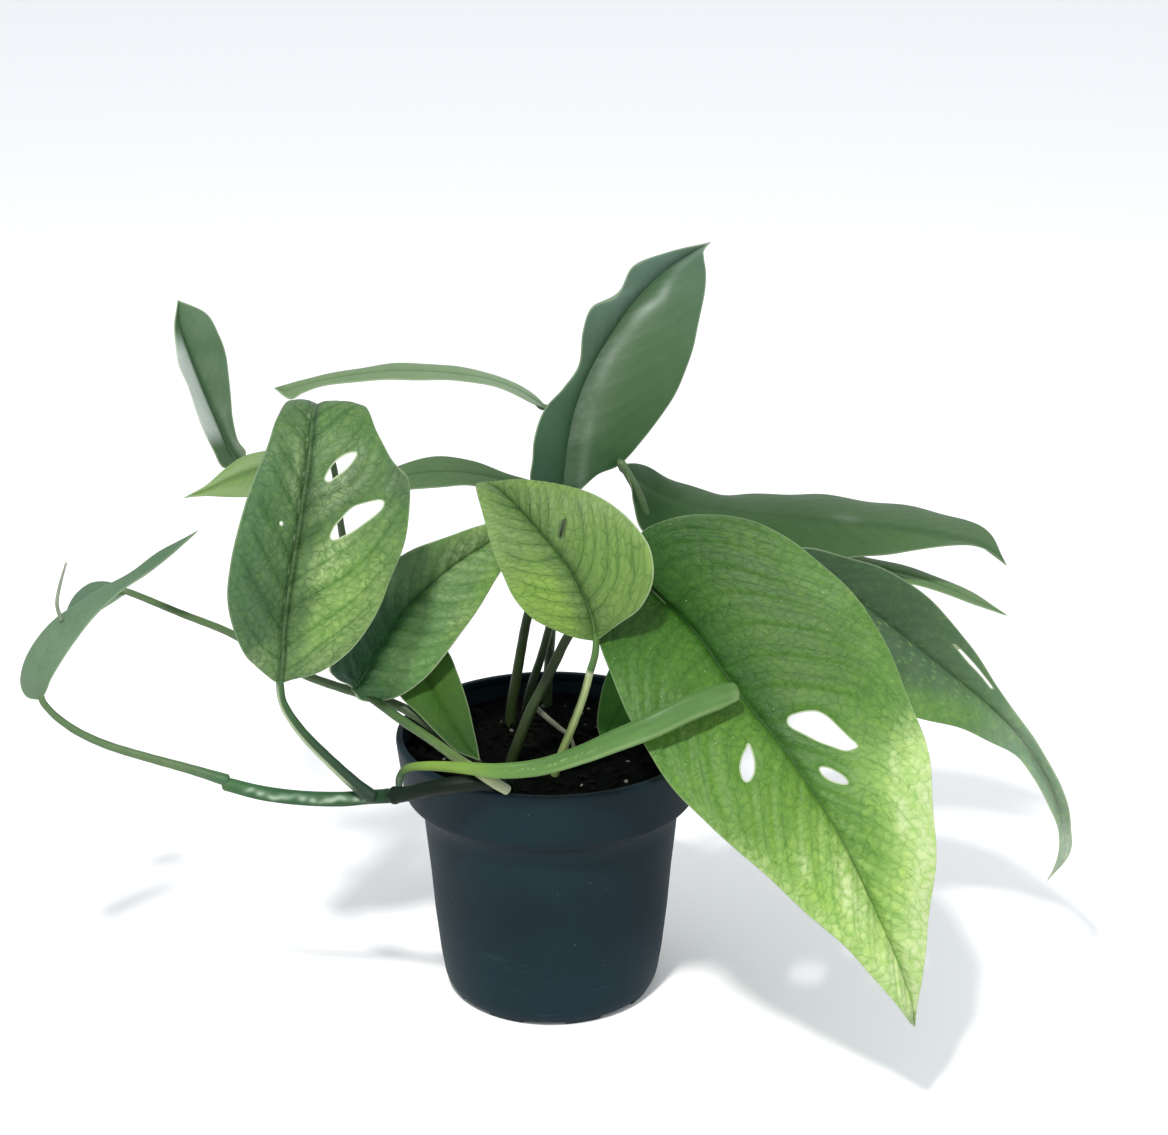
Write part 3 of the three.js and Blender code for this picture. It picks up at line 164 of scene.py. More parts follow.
        left=[[-81.5,-6,222.8],[-89.4,-13,215.4],[-99.5,-16.8,212.1],[-109.8,-18.1,210.7],[-118.7,-17.6,210.5],[-126.9,-16.7,210.6],[-135.4,-17,210]],
        right=[[-81.5,-6,222.8],[-92.7,-3.5,225.9],[-103.7,-5.3,224.6],[-113.3,-7,222.9],[-120.5,-10.2,218.9],[-127.4,-14,213.6],[-135.4,-17,210]],
        holes=[]),
    "leaf_k": dict(bulge=0.05, side=1,
        mid=[[-188,-42,139.9],[-189.3,-42,143.1],[-190,-42,148.7],[-187.5,-41,155.9],[-182.6,-39,162.6],[-176.2,-37,169.3],[-169,-34,174.8],[-160.7,-31,179.1],[-151.2,-28,184.6],[-140.9,-25,191.3],[-129.4,-22,199.2]],
        left=[[-188,-42,139.9],[-185.6,-43.7,144.6],[-183.1,-45.7,150.3],[-179,-45.6,157],[-174.1,-43.3,163.5],[-168.7,-40.5,170.3],[-163.4,-36.7,175],[-156.8,-32.4,179.7],[-148.4,-29.3,184.7],[-138.9,-26,191.3],[-129.4,-22,199.2]],
        right=[[-188,-42,139.9],[-194.2,-38.1,139.4],[-196.6,-36.9,144.9],[-194.8,-35.5,152.8],[-189.5,-33.2,161],[-182.3,-31.4,168.7],[-173.6,-30.3,174.2],[-164.9,-27.3,178.9],[-154.5,-25.1,184.3],[-143.4,-22.2,191.5],[-129.4,-22,199.2]],
        holes=[]),
    "leaf_k2": dict(bulge=0.05, side=-1,
        mid=[[-159.1,-8,169.3],[-163.6,-8,169.3],[-169.4,-8,168.1],[-175.2,-8,164.5],[-180.8,-8,159.6],[-185.7,-8,153.9]],
        left=[[-159.1,-8,169.3],[-163,-10.7,167.1],[-167.8,-12.5,164.6],[-172.5,-12.3,161.3],[-177.8,-11.3,157.7],[-185.7,-8,153.9]],
        right=[[-159.1,-8,169.3],[-163.6,-4.6,171.2],[-169.6,-2.3,171.5],[-175.6,-0.7,169.3],[-181.8,-2.3,163.5],[-185.7,-8,153.9]],
        holes=[]),
    "leaf_n": dict(bulge=0.05, side=1,
        mid=[[-57,6,146.7],[-54.7,3.5,142.3],[-50.8,0,136.7],[-46.1,-5,129.2],[-41.1,-11,122.2],[-36,-17,115.6],[-31.4,-21.5,110.1],[-26.8,-25,106.3]],
        left=[[-57,6,146.7],[-60.7,1.3,141.2],[-61.8,-4.1,134.3],[-57.5,-9.4,126.5],[-50.2,-14.1,120.7],[-42.8,-19.3,114.6],[-35.6,-23,109.2],[-26.8,-25,106.3]],
        right=[[-57,6,146.7],[-46.9,3.7,145.1],[-39.6,0.5,141.4],[-35.3,-4.5,133.5],[-31.5,-11.3,123.9],[-29.2,-17.4,116.2],[-27.6,-21.8,110.2],[-26.8,-25,106.3]],
        holes=[]),
    "leaf_p": dict(bulge=0.05, side=1,
        mid=[[41.6,6,145.4],[38.5,4,139.5],[34.6,1,133.3],[30.7,-2,126.2],[26.8,-5,119.1],[23.3,-8,112.9],[19.8,-10,107.1]],
        left=[[41.6,6,145.4],[31.5,4,142.9],[24.6,0.5,136.9],[20.7,-2.7,129.1],[18.7,-5.6,121.2],[17.9,-8.6,113.6],[19.8,-10,107.1]],
        right=[[41.6,6,145.4],[47,4.9,138.3],[45.5,1.5,129.6],[40.4,-2.1,121.1],[34.5,-5.1,114.9],[28.7,-8,110.3],[19.8,-10,107.1]],
        holes=[]),
}
TUBES = {
    "vine": dict(path=[[-15.3,-41,93],[-15.8,-43.5,102],[-18,-50.5,110.2],[-22.4,-56.5,112.5],[-33.4,-58.5,112.5],[-44.6,-56,109.7],[-54.1,-52,105.4],[-61.8,-48,102.7],[-68.8,-45,100.9],[-79,-44,99.7],[-94.1,-42,99.3],[-108.4,-41,100.9],[-121.8,-40,104.3]],
        r=[3.1,3.1,3.1,3.1,3.1,3,2.9,2.7,2.7,2.8,2.8,2.8,2.6]),
    "petiole_k": dict(path=[[-121.7,-40,105.9],[-135,-40,110.5],[-149.7,-40,115.1],[-164.3,-40,120.1],[-175,-41,126],[-182.7,-41.5,132.3],[-186.7,-42,137.4],[-188,-42,139.9]],
        r=[2.2,1.9,1.7,1.6,1.5,1.4,1.3,1.3]),
    "petiole_f": dict(path=[[-66.7,-48,102.4],[-72.9,-47,107.3],[-82.1,-45,115.8],[-90.9,-43,124.8],[-96.7,-41.5,132.7],[-99.5,-40.5,138.7],[-100.1,-40,145]],
        r=[2.6,2.5,2.2,2,1.8,1.6,1.5]),
    "petiole_l": dict(path=[[-16.1,-60.5,110.9],[-20.5,-61.2,114.1],[-25.2,-60.5,117.2],[-30.5,-54,117.9],[-35.6,-45,117.2],[-45.4,-31,118.3],[-57.1,-20,121.7],[-65.7,-13,125.3],[-71.6,-9.5,127.9],[-75.1,-8,129.4]],
        r=[1.8,2,2,1.9,1.9,1.8,1.8,1.7,1.5,1.4]),
    "stem_k2": dict(path=[[-24.9,-14.9,94],[-30.2,-14,102.9],[-42.4,-12,112.1],[-53.8,-9,119.7],[-63.5,-5,122.6],[-79.1,0,125.5],[-94.6,3,130.2],[-109.7,3,139],[-122.4,0,149.1],[-140.5,-4,159],[-159.1,-8,169.3]],
        r=[2.12,2,2,2,1.9,1.8,1.7,1.6,1.5,1.4,1.3]),
    "petiole_d": dict(path=[[1,-24.7,94],[2,-26,102.8],[4.3,-29,111.7],[8.5,-33,125],[12.2,-37,137.8],[14.7,-40,149.2],[16.5,-41.5,156.6],[16.9,-42,162.4]],
        r=[1.8,1.7,1.7,1.6,1.5,1.5,1.4,1.3]),
    "petiole_a": dict(path=[[-16.6,-18,94],[-15.6,-18,101.3],[-12.4,-18,110.9],[-7.8,-17,123],[-3.2,-15,132],[1.8,-13,141.9],[6.8,-11,151.7],[15.2,-9,163.5],[24.6,-8,170.8],[32.9,-8,174.4]],
        r=[2.33,2.2,2.2,2.1,2,2,1.9,1.8,1.7,1.6]),
    "petiole_e": dict(path=[[-16.4,20,94],[-15.9,20,102.3],[-15.1,20,110.5],[-13.5,20,120.4],[-11.4,20,133.1],[-8.9,19,147],[-4.6,17,163.6],[0.9,14,183.3],[5.2,12,196.2]],
        r=[2.38,2.31,2.2,2.1,2,1.9,1.8,1.7,1.6]),
    "petiole_c": dict(path=[[21.2,20,94],[22,20,102.1],[24.7,20,115.9],[29.7,21,134.6],[35.5,21,153.5],[38.8,21,173.5],[35.8,18,193.9],[27.7,16,211.2]],
        r=[2.33,2.2,2.1,2,1.9,1.8,1.7,1.6]),
    "petiole_b": dict(path=[[27.8,14.6,94],[30.5,15,101.7],[43,17,117.9],[61.6,18,142],[79.3,16,165.7],[92.3,14,177.5]],
        r=[2.33,2.2,2,1.9,1.8,1.6]),
    "petiole_c2": dict(path=[[26.6,35.3,94],[28.7,36,101.1],[43.9,41,124.1],[63.7,45,148.1],[82.6,46,162.1],[99.1,46,166.7]],
        r=[1.91,1.8,1.7,1.6,1.5,1.3]),
    "petiole_g": dict(path=[[-1.5,42.6,94],[-1.3,43.1,102.9],[-0.9,44,111.7],[0.8,48,134.4],[2.5,51,158.9],[5,53,179.3],[7,54,197.8],[5.4,54,213.2],[-0.4,54,221]],
        r=[2.16,2.1,2,1.9,1.8,1.7,1.6,1.5,1.3]),
    "petiole_h": dict(path=[[-10.4,32.6,94],[-9.5,32.7,102.2],[-8.1,33,110.4],[-2.8,34,127.2],[2.4,35,148.1],[7.2,35,169.2],[8.8,35,183.8],[4.1,34,191.2]],
        r=[1.94,1.89,1.8,1.7,1.6,1.5,1.4,1.3]),
    "petiole_i": dict(path=[[-34.6,14,94],[-38.7,14,102.6],[-49.1,14,112.5],[-60.5,14,127.4],[-73.4,13,151],[-87.2,12,176.3],[-99.3,10,197.4],[-108.5,8,210.6],[-115.4,8,215]],
        r=[2.01,1.9,1.9,1.8,1.7,1.6,1.5,1.4,1.3]),
    "petiole_j": dict(path=[[-32.1,7.8,94],[-34.7,8,99.2],[-46.2,9,110],[-57.6,9,124.5],[-68.6,7,147.2],[-76,3,173.5],[-78.9,-1,195.2],[-79.7,-4,212.3],[-81.5,-6,222.8]],
        r=[1.91,1.8,1.8,1.7,1.6,1.5,1.4,1.3,1.2]),
    "petiole_n": dict(path=[[-63.1,-6,123.4],[-67.3,-2,130.9],[-67,3,139.7],[-62.4,6,145.1],[-57,6,146.7]],
        r=[1.3,1.3,1.2,1.2,1.2]),
    "petiole_p": dict(path=[[33.4,4.5,94],[34.9,5,101.9],[40.8,7,115.1],[45.7,8,129.4],[45.6,7,140.3],[41.6,6,145.4]],
        r=[1.48,1.4,1.4,1.3,1.2,1.1]),
    "young_leaf": dict(flat=0.5, path=[[-56.4,-50,107.8],[-56.1,-47.5,110.3],[-53.1,-47,113.7],[-44.7,-50,115.9],[-31.5,-60,119.6],[-18.5,-66.5,121.4],[-3.9,-68.5,123.8],[10.7,-71.5,129.9],[23.3,-74.5,136.8],[37.6,-75.5,143.5],[50.3,-71,148.1],[60.7,-66,150.2],[66.6,-63,150.8]],
        r=[1.3,1.4,1.5,1.8,2.3,2.9,3.2,3.5,4.1,4.6,4.9,4.4,2.4]),
    "aerial_root": dict(path=[[-7,-14,125],[-2.1,-12,119],[2.9,-10,113.5],[7.5,-9,108.8],[9.5,-8,101.5],[10.5,-7.5,96.5]],
        r=[1.1,1.1,1,0.8,0.8,0.7]),
    "dried_tip": dict(path=[[-180,-36,169.3],[-181.1,-36,175.7],[-179.7,-35,182.8],[-177.1,-34,191]],
        r=[0.8,0.7,0.6,0.4]),
}


# ------------------------------------------------------------------ small helpers
def smooth(lo, hi, x):
    t = np.clip((np.asarray(x, float) - lo) / (hi - lo), 0.0, 1.0)
    return t * t * (3.0 - 2.0 * t)


def cr(points, u):
    """Uniform Catmull-Rom through the points, with reflected ends; u runs from 0 to len - 1."""
    p = np.asarray(points, float)
    n = len(p)
    u = np.clip(u, 0.0, n - 1.0)
    i = np.clip(np.floor(u).astype(int), 0, n - 2)
    f = (u - i)[:, None]
    p1, p2 = p[i], p[i + 1]
    p0 = np.where((i == 0)[:, None], 2 * p[0] - p[1], p[np.maximum(i - 1, 0)])
    p3 = np.where((i == n - 2)[:, None], 2 * p[n - 1] - p[n - 2], p[np.minimum(i + 2, n - 1)])
    return 0.5 * (2 * p1 + (p2 - p0) * f + (2 * p0 - 5 * p1 + 4 * p2 - p3) * f**2
                  + (3 * p1 - p0 - 3 * p2 + p3) * f**3)


def closed_cr(points, count):
    p = np.asarray(points, float)
    n = len(p)
    u = np.linspace(0, n, count, endpoint=False)
    i = np.floor(u).astype(int)
    f = (u - i)[:, None]
    p0, p1, p2, p3 = p[(i - 1) % n], p[i % n], p[(i + 1) % n], p[(i + 2) % n]
    return 0.5 * (2 * p1 + (p2 - p0) * f + (2 * p0 - 5 * p1 + 4 * p2 - p3) * f**2
                  + (3 * p1 - p0 - 3 * p2 + p3) * f**3)


def nearest(points, targets):
    """Distance from each point to the closest target, and its index."""
    dist = np.empty(len(points))
    index = np.empty(len(points), int)
    for k in range(0, len(points), 4000):
        d = ((points[k:k + 4000, None, :] - targets[None, :, :]) ** 2).sum(2)
        j = d.argmin(1)
        index[k:k + 4000] = j
        dist[k:k + 4000] = np.sqrt(d[np.arange(len(j)), j])
    return dist, index


def in_polygon(points, poly):
    inside = np.zeros(len(points), bool)
    x, y = points[:, 0], points[:, 1]
    a, b = poly, np.roll(poly, -1, axis=0)
    for (x1, y1), (x2, y2) in zip(a, b):
        if y1 == y2:
            continue
        hit = ((y1 > y) != (y2 > y)) & (x < (x2 - x1) * (y - y1) / (y2 - y1) + x1)
        inside ^= hit
    return inside


def cells(points, randomness=0.9):
    """Distance to the nearest cell wall of the same cell pattern that the materials draw."""
    me = bpy.data.meshes.new("probe")
    pts = np.zeros((len(points), 3))
    pts[:, :2] = points
    me.from_pydata(pts.tolist(), [], [])
    ob = bpy.data.objects.new("probe", me)
    scene.collection.objects.link(ob)
    tree = bpy.data.node_groups.new("probe", "GeometryNodeTree")
    tree.interface.new_socket("Geometry", in_out="INPUT", socket_type="NodeSocketGeometry")
    tree.interface.new_socket("Geometry", in_out="OUTPUT", socket_type="NodeSocketGeometry")
    src = tree.nodes.new("NodeGroupInput")
    dst = tree.nodes.new("NodeGroupOutput")
    pos = tree.nodes.new("GeometryNodeInputPosition")
    vor = tree.nodes.new("ShaderNodeTexVoronoi")
    vor.voronoi_dimensions = "2D"
    vor.feature = "DISTANCE_TO_EDGE"
    vor.inputs["Scale"].default_value = 1.0
    vor.inputs["Randomness"].default_value = randomness
    put = tree.nodes.new("GeometryNodeStoreNamedAttribute")
    put.data_type = "FLOAT"
    put.domain = "POINT"
    put.inputs["Name"].default_value = "wall"
    tree.links.new(pos.outputs[0], vor.inputs["Vector"])
    tree.links.new(src.outputs[0], put.inputs["Geometry"])
    tree.links.new(vor.outputs["Distance"], put.inputs["Value"])
    tree.links.new(put.outputs[0], dst.inputs[0])
    mod = ob.modifiers.new("probe", "NODES")
    mod.node_group = tree
    deps = bpy.context.evaluated_depsgraph_get()
    deps.update()
    em = ob.evaluated_get(deps).data
    out = np.empty(len(points))
    em.attributes["wall"].data.foreach_get("value", out)
    bpy.data.objects.remove(ob)
    bpy.data.meshes.remove(me)
    bpy.data.node_groups.remove(tree)
    return out


def add_attribute(me, name, kind, values):
    at = me.attributes.new(name, kind, "POINT")
    key = {"FLOAT": "value", "FLOAT_VECTOR": "vector", "FLOAT_COLOR": "color"}[kind]
    at.data.foreach_set(key, np.ascontiguousarray(values, dtype=np.float32).ravel())


def make_object(name, verts, faces, material, attributes=(), weld=0.0, crease=None):
    """A smooth-shaded mesh object from points in millimetres."""
    me = bpy.data.meshes.new(name)
    me.from_pydata((np.asarray(verts) * MM).tolist(), [], [list(map(int, f)) for f in faces])
    for key, kind, values in attributes:
        add_attribute(me, key, kind, values)
    if weld:
        bm = bmesh.new()
        bm.from_mesh(me)
        bmesh.ops.remove_doubles(bm, verts=bm.verts, dist=weld * MM)
        bm.to_mesh(me)
        bm.free()
    me.validate()
    me.update()
    me.polygons.foreach_set("use_smooth", [True] * len(me.polygons))
    if crease is not None:
        bm = bmesh.new()
        bm.from_mesh(me)
        for e in bm.edges:
            if len(e.link_faces) == 2 and e.calc_face_angle(0.0) > math.radians(crease):
                e.smooth = False
        bm.to_mesh(me)
        bm.free()
    ob = bpy.data.objects.new(name, me)
    scene.collection.objects.link(ob)
    me.materials.append(material)
    return ob


def srgb(r, g, b):
    """A linear colour from eight-bit display values."""
    out = []
    for c in (r, g, b):
        c /= 255.0
        out.append(c / 12.92 if c <= 0.04045 else ((c + 0.055) / 1.055) ** 2.4)
    return out


class Mat:
    """A short way to write node materials."""

    def __init__(self, name):
        self.mat = bpy.data.materials.new(name)
        self.mat.use_nodes = True
        self.t = self.mat.node_tree
        self.t.nodes.clear()
        self.out = self.t.nodes.new("ShaderNodeOutputMaterial")
        self.bsdf = self.t.nodes.new("ShaderNodeBsdfPrincipled")
        self.t.links.new(self.bsdf.outputs[0], self.out.inputs["Surface"])

    def put(self, socket, value):
        if isinstance(value, bpy.types.NodeSocket):
            self.t.links.new(value, socket)
        elif hasattr(socket.default_value, "__len__"):
            value = list(value)
            if len(socket.default_value) == 4 and len(value) == 3:
                value.append(1.0)
            socket.default_value = value
        else:
            socket.default_value = value

    def attr(self, name):
        n = self.t.nodes.new("ShaderNodeAttribute")
        n.attribute_name = name
        return n

    def value(self, name):
        return self.attr(name).outputs["Fac"]

    def vector(self, name):
        return self.attr(name).outputs["Vector"]

    def colour(self, name):
        return self.attr(name).outputs["Color"]

    def object_coords(self):
        return self.t.nodes.new("ShaderNodeTexCoord").outputs["Object"]

    def math(self, op, a, b=0.0, c=0.0, clamp=False):
        n = self.t.nodes.new("ShaderNodeMath")
        n.operation = op
        n.use_clamp = clamp
        for k, v in enumerate((a, b, c)):
            self.put(n.inputs[k], v)
        return n.outputs[0]

    def ramp(self, x, lo, hi, a=0.0, b=1.0):
        """Smooth step of x from lo to hi, running from a to b."""
        n = self.t.nodes.new("ShaderNodeMapRange")
        n.interpolation_type = "SMOOTHSTEP"
        for k, v in enumerate((x, lo, hi, a, b)):
            self.put(n.inputs[k], v)
        return n.outputs[0]

    def scale(self, vec, by, shift=(0, 0, 0)):
        n = self.t.nodes.new("ShaderNodeVectorMath")
        n.operation = "MULTIPLY_ADD"
        self.put(n.inputs[0], vec)
        self.put(n.inputs[1], by)
        self.put(n.inputs[2], shift)
        return n.outputs[0]

    def xyz(self, vec):
        n = self.t.nodes.new("ShaderNodeSeparateXYZ")
        self.put(n.inputs[0], vec)
        return n.outputs

    def combine(self, x, y, z=0.0):
        n = self.t.nodes.new("ShaderNodeCombineXYZ")
        for k, v in enumerate((x, y, z)):
            self.put(n.inputs[k], v)
        return n.outputs[0]

    def voronoi(self, vec, feature="DISTANCE_TO_EDGE", dims="2D", randomness=0.9, scale=1.0):
        n = self.t.nodes.new("ShaderNodeTexVoronoi")
        n.voronoi_dimensions = dims
        n.feature = feature
        self.put(n.inputs["Vector"], vec)
        self.put(n.inputs["Scale"], scale)
        self.put(n.inputs["Randomness"], randomness)
        return n.outputs

    def noise(self, vec, scale, detail=3.0, rough=0.55, distortion=0.0):
        n = self.t.nodes.new("ShaderNodeTexNoise")
        self.put(n.inputs["Vector"], vec)
        self.put(n.inputs["Scale"], scale)
        self.put(n.inputs["Detail"], detail)
        self.put(n.inputs["Roughness"], rough)
        self.put(n.inputs["Distortion"], distortion)
        return n.outputs[0]

    def mix(self, fac, a, b, blend="MIX"):
        n = self.t.nodes.new("ShaderNodeMix")
        n.data_type = "RGBA"
        n.blend_type = blend
        self.put(n.inputs[0], fac)
        self.put(n.inputs[6], a)
        self.put(n.inputs[7], b)
        return n.outputs[2]

    def bump(self, height, distance, strength=1.0, normal=None):
        n = self.t.nodes.new("ShaderNodeBump")
        self.put(n.inputs["Height"], height)
        self.put(n.inputs["Distance"], distance)
        self.put(n.inputs["Strength"], strength)
        if normal is not None:
            self.put(n.inputs["Normal"], normal)
        return n.outputs[0]

    def set(self, **kw):
        names = {"base": "Base Color", "rough": "Roughness", "normal": "Normal", "spec": "Specular IOR Level",
                 "coat": "Coat Weight", "coat_rough": "Coat Roughness", "sss": "Subsurface Weight",
                 "sheen": "Sheen Weight"}
        for k, v in kw.items():
            self.put(self.bsdf.inputs[names[k]], v)
        return self.mat


# ------------------------------------------------------------------ leaf blades
T_BLADE = 0.55


class Sheet:
    """The blade's surface: u along the midrib in table steps, v from -1 at one margin to +1 at the other."""

    def __init__(self, spec):
        self.mid, self.left, self.right = (np.array(spec[k], float) for k in ("mid", "left", "right"))
        self.side, self.bulge = spec["side"], spec["bulge"]
        self.last = len(self.mid) - 1
        fine = np.linspace(0, self.last, 40 * self.last + 1)
        steps = np.linalg.norm(np.diff(cr(self.mid, fine), axis=0), axis=1)
        self.fine, self.arc = fine, np.concatenate([[0.0], np.cumsum(steps)])
        self.length = self.arc[-1]

    def base(self, u, v):
        m, left, right = cr(self.mid, u), cr(self.left, u), cr(self.right, u)
        e = np.where((v < 0)[:, None], left, right)
        return m, e, m + (e - m) * np.abs(v)[:, None]

    def at(self, u, v):
        """Points, along and across distances from the midrib's foot, half widths."""
        m, e, p = self.base(u, v)
        w = np.linalg.norm(e - m, axis=1)
        eps = 0.04
        ua, ub = np.clip(u - eps, 0, self.last), np.clip(u + eps, 0, self.last)
        du = self.base(ub, v)[2] - self.base(ua, v)[2]
        sgn = np.where(v < 0, -1.0, 1.0)
        dv = (e - m) * sgn[:, None]
        n = np.cross(du, dv)
        n /= np.linalg.norm(n, axis=1, keepdims=True) + 1e-9
        n *= self.side
        a = np.abs(v)
        p = p + n * (self.bulge * w * 4 * a * (1 - a))[:, None]
        t = cr(self.mid, ub) - cr(self.mid, ua)
        t /= np.linalg.norm(t, axis=1, keepdims=True) + 1e-9
        along = ((e - m) * t).sum(1)
        across = np.sqrt(np.maximum(w**2 - along**2, 0.0))
        x = np.interp(u, self.fine, self.arc) + along * a
        return p, x, across * v, w


def lateral_foot(x, y, length, halfwidth, lean=(0.2, 1.3), curl=1.0):
    """Where on the midrib the side vein through (x, y) starts."""
    v2 = np.clip(np.abs(y) / np.maximum(halfwidth, 1.0), 0, 1.0) ** 2
    x0 = x.copy()
    for _ in range(14):
        c0 = lean[0] + (lean[1] - lean[0]) * smooth(0.12, 0.68, x0 / length)
        x0 = 0.5 * x0 + 0.5 * (x - np.abs(y) * (c0 + curl * v2))
    return x0


def blade_grid(sheet, cell):
    """Sample positions (u, v) with finer columns at the midrib and at the margins."""
    rows = max(24, int(sheet.length / cell))
    # the margins run longer than the midrib, so the rows follow the mean of the three lengths
    u_f = sheet.fine
    speed = sum(np.linalg.norm(np.gradient(cr(k, u_f), axis=0), axis=1) for k in (sheet.mid, sheet.left, sheet.right)) / 3
    run = np.concatenate([[0.0], np.cumsum((speed[1:] + speed[:-1]) / 2)])
    rows = max(24, int(run[-1] / cell))
    u = np.interp(np.linspace(0, run[-1], rows + 1), run, u_f)
    m, left, right = cr(sheet.mid, u), cr(sheet.left, u), cr(sheet.right, u)
    cols = []
    for side, e in ((-1, left), (1, right)):
        w = np.linalg.norm(e - m, axis=1)
        n = max(4, int((w.max() - 2.7) / cell))
        inner, outer = np.minimum(1.8, 0.28 * w), np.minimum(1.1, 0.22 * w)
        seq = [inner * k for k in (0.0, 0.2, 0.42, 0.7)]
        seq += [inner + (w - inner - outer) * k / n for k in range(n + 1)]
        seq += [w - outer * k for k in (0.62, 0.34, 0.14, 0.0)]
        v = np.stack(seq, 1) / np.maximum(w, 1e-6)[:, None]
        v[w < 1e-5] = np.linspace(0, 1, v.shape[1])
        cols.append(side * v)
    v = np.concatenate([cols[0][:, :0:-1], cols[1]], axis=1)
    uu = np.repeat(u[:, None], v.shape[1], 1)
    return uu, v, cols[0].shape[1] - 1


def make_blade(name, spec, look, material):
    sheet = Sheet(spec)
    uu, vv, centre = blade_grid(sheet, look["cell"])
    rows, cols = uu.shape
    u, v = uu.ravel().copy(), vv.ravel().copy()
    dead = np.zeros(rows * cols, bool)
    index = np.arange(rows * cols).reshape(rows, cols)
    rims = []
    for hole in spec["holes"]:
        poly = closed_cr(hole, 160)
        su = np.interp(poly[:, 0].mean() + 0.5, sheet.fine, sheet.arc) - np.interp(poly[:, 0].mean() - 0.5, sheet.fine, sheet.arc)
        _, _, _, w = sheet.at(poly[:, 0], poly[:, 1])
        sc = np.array([su, w.mean()])
        if "slit" in look:
            off = (poly - poly.mean(0)) * sc
            axes = np.linalg.svd(off, full_matrices=False)[2]
            poly = poly.mean(0) + ((off @ axes.T) * np.array([1.0, look["slit"]])) @ axes / sc
        if "pinhole" in look and np.ptp((poly * sc)[:, 0]) < 5.0:
            poly = poly.mean(0) + (poly - poly.mean(0)) * look["pinhole"]
        inside = in_polygon(np.stack([u, v], 1), poly)
        # a hole narrower than a cell still opens the cells along its middle line
        gone = inside.reshape(rows, cols)
        quad = gone[:-1, :-1] | gone[1:, :-1] | gone[:-1, 1:] | gone[1:, 1:]
        touched = np.zeros((rows, cols), bool)
        for a, b in ((0, 0), (1, 0), (0, 1), (1, 1)):
            touched[a:rows - 1 + a, b:cols - 1 + b] |= quad
        edge = (touched & ~gone).ravel()
        pts = np.stack([u, v], 1)[edge] * sc
        _, k = nearest(pts, poly * sc)
        u[edge], v[edge] = poly[k, 0], poly[k, 1]
        dead |= inside
        rims.append((edge.copy(), poly))
    p, x, y, w = sheet.at(u, v)
    # distance to the margin and to the hole rims, measured on the flattened blade
    us = np.linspace(0, sheet.last, 500)
    border = []
    for s in (-1.0, 1.0):
        _, bx, by, _ = sheet.at(us, np.full_like(us, s))
        border.append(np.stack([bx, by], 1))
    flat = np.stack([x, y], 1)
    margin, _ = nearest(flat, np.concatenate(border))
    col = np.tile(np.arange(cols), rows)
    row = np.repeat(np.arange(rows), cols)
    rim = (col == 0) | (col == cols - 1) | (row == 0) | (row == rows - 1)
    margin[rim] = 0.0
    holedist = np.full(len(u), 99.0)
    for edge, poly in rims:
        _, hx, hy, _ = sheet.at(poly[:, 0], poly[:, 1])
        d, _ = nearest(flat, np.stack([hx, hy], 1))
        holedist = np.minimum(holedist, d)
        holedist[edge] = 0.0
        rim |= edge
    edge_d = np.minimum(margin, holedist)

    # side veins and the net between them
    halfw = np.where(v < 0, np.abs(np.interp(x, border[0][:, 0], border[0][:, 1])),
                     np.abs(np.interp(x, border[1][:, 0], border[1][:, 1])))
    halfw = np.maximum(halfw, 2.0)
    foot = lateral_foot(x, y, sheet.length, halfw, look.get("lean", (0.2, 1.3)), look.get("curl", 1.0))
    sgn = np.where(v < 0, -1.0, 1.0)
    seed = look["seed"]
    reach = np.hypot(y, 0.6 * (x - foot)) * sgn
    warp = foot + 1.3 * np.sin(foot * 0.21 + seed) + 0.8 * np.sin(foot * 0.53 + 2.1 * seed + sgn)
    warp = warp + 0.9 * np.sin(np.abs(reach) * 0.19 + foot * 0.05 + seed * 1.7 + sgn * 0.6)
    # the net of small veins lies in the flattened blade, drawn out a little along the side veins
    slant = look.get("slant", 0.75)
    co = 1.0 / math.hypot(1.0, slant)
    net_a, net_b = look.get("net", (4.4, 3.2))
    na, nb = (np.abs(y) + slant * x) * co / net_a, (x - slant * np.abs(y)) * co / net_b
    bend = np.where(v < 0, 1.9, 0.0) + seed
    wa = 0.20 * np.sin(nb * 1.1 + 1.7 * np.sin(na * 0.6 + bend)) + 0.07 * np.sin(nb * 2.9 + na * 1.3 + bend)
    wb = 0.24 * np.sin(na * 1.3 + 1.5 * np.sin(nb * 0.5 + 2 * bend)) + 0.08 * np.sin(na * 3.3 - nb * 1.1 + bend)
    net = np.stack([na + wa + 3.0 * bend, nb + wb + 7.0 * bend], 1)
    space = look.get("space", 9.5)
    lat = warp / space + np.where(v < 0, 0.37, 0.0)
    wall = cells(net)
    side_vein = np.abs((lat % 1.0) - 0.5) * 2.0          # 1 on a side vein, 0 midway
    side_mm = (1.0 - side_vein) * 0.5 * space
    ay = np.abs(y)

    # relief of the sheet: puckers between the veins, sunken side veins, a rolling margin
    puff = look.get("pucker", 0.12)
    fade = smooth(0.0, 4.0, edge_d) * smooth(0.6, 3.0, ay)
    relief = puff * smooth(0.0, 0.3, wall) * fade
    relief = relief + look.get("quilt", 0.5) * smooth(0.0, 3.2, side_mm) * fade
    roll = look.get("roll", 0.5)
    relief = relief + roll * np.clip(np.abs(v), 0, 1) ** 4 * np.sin(x * 2 * math.pi / look.get("wave", 26.0) + seed + sgn)
    relief = relief - relief.mean() * 0.5

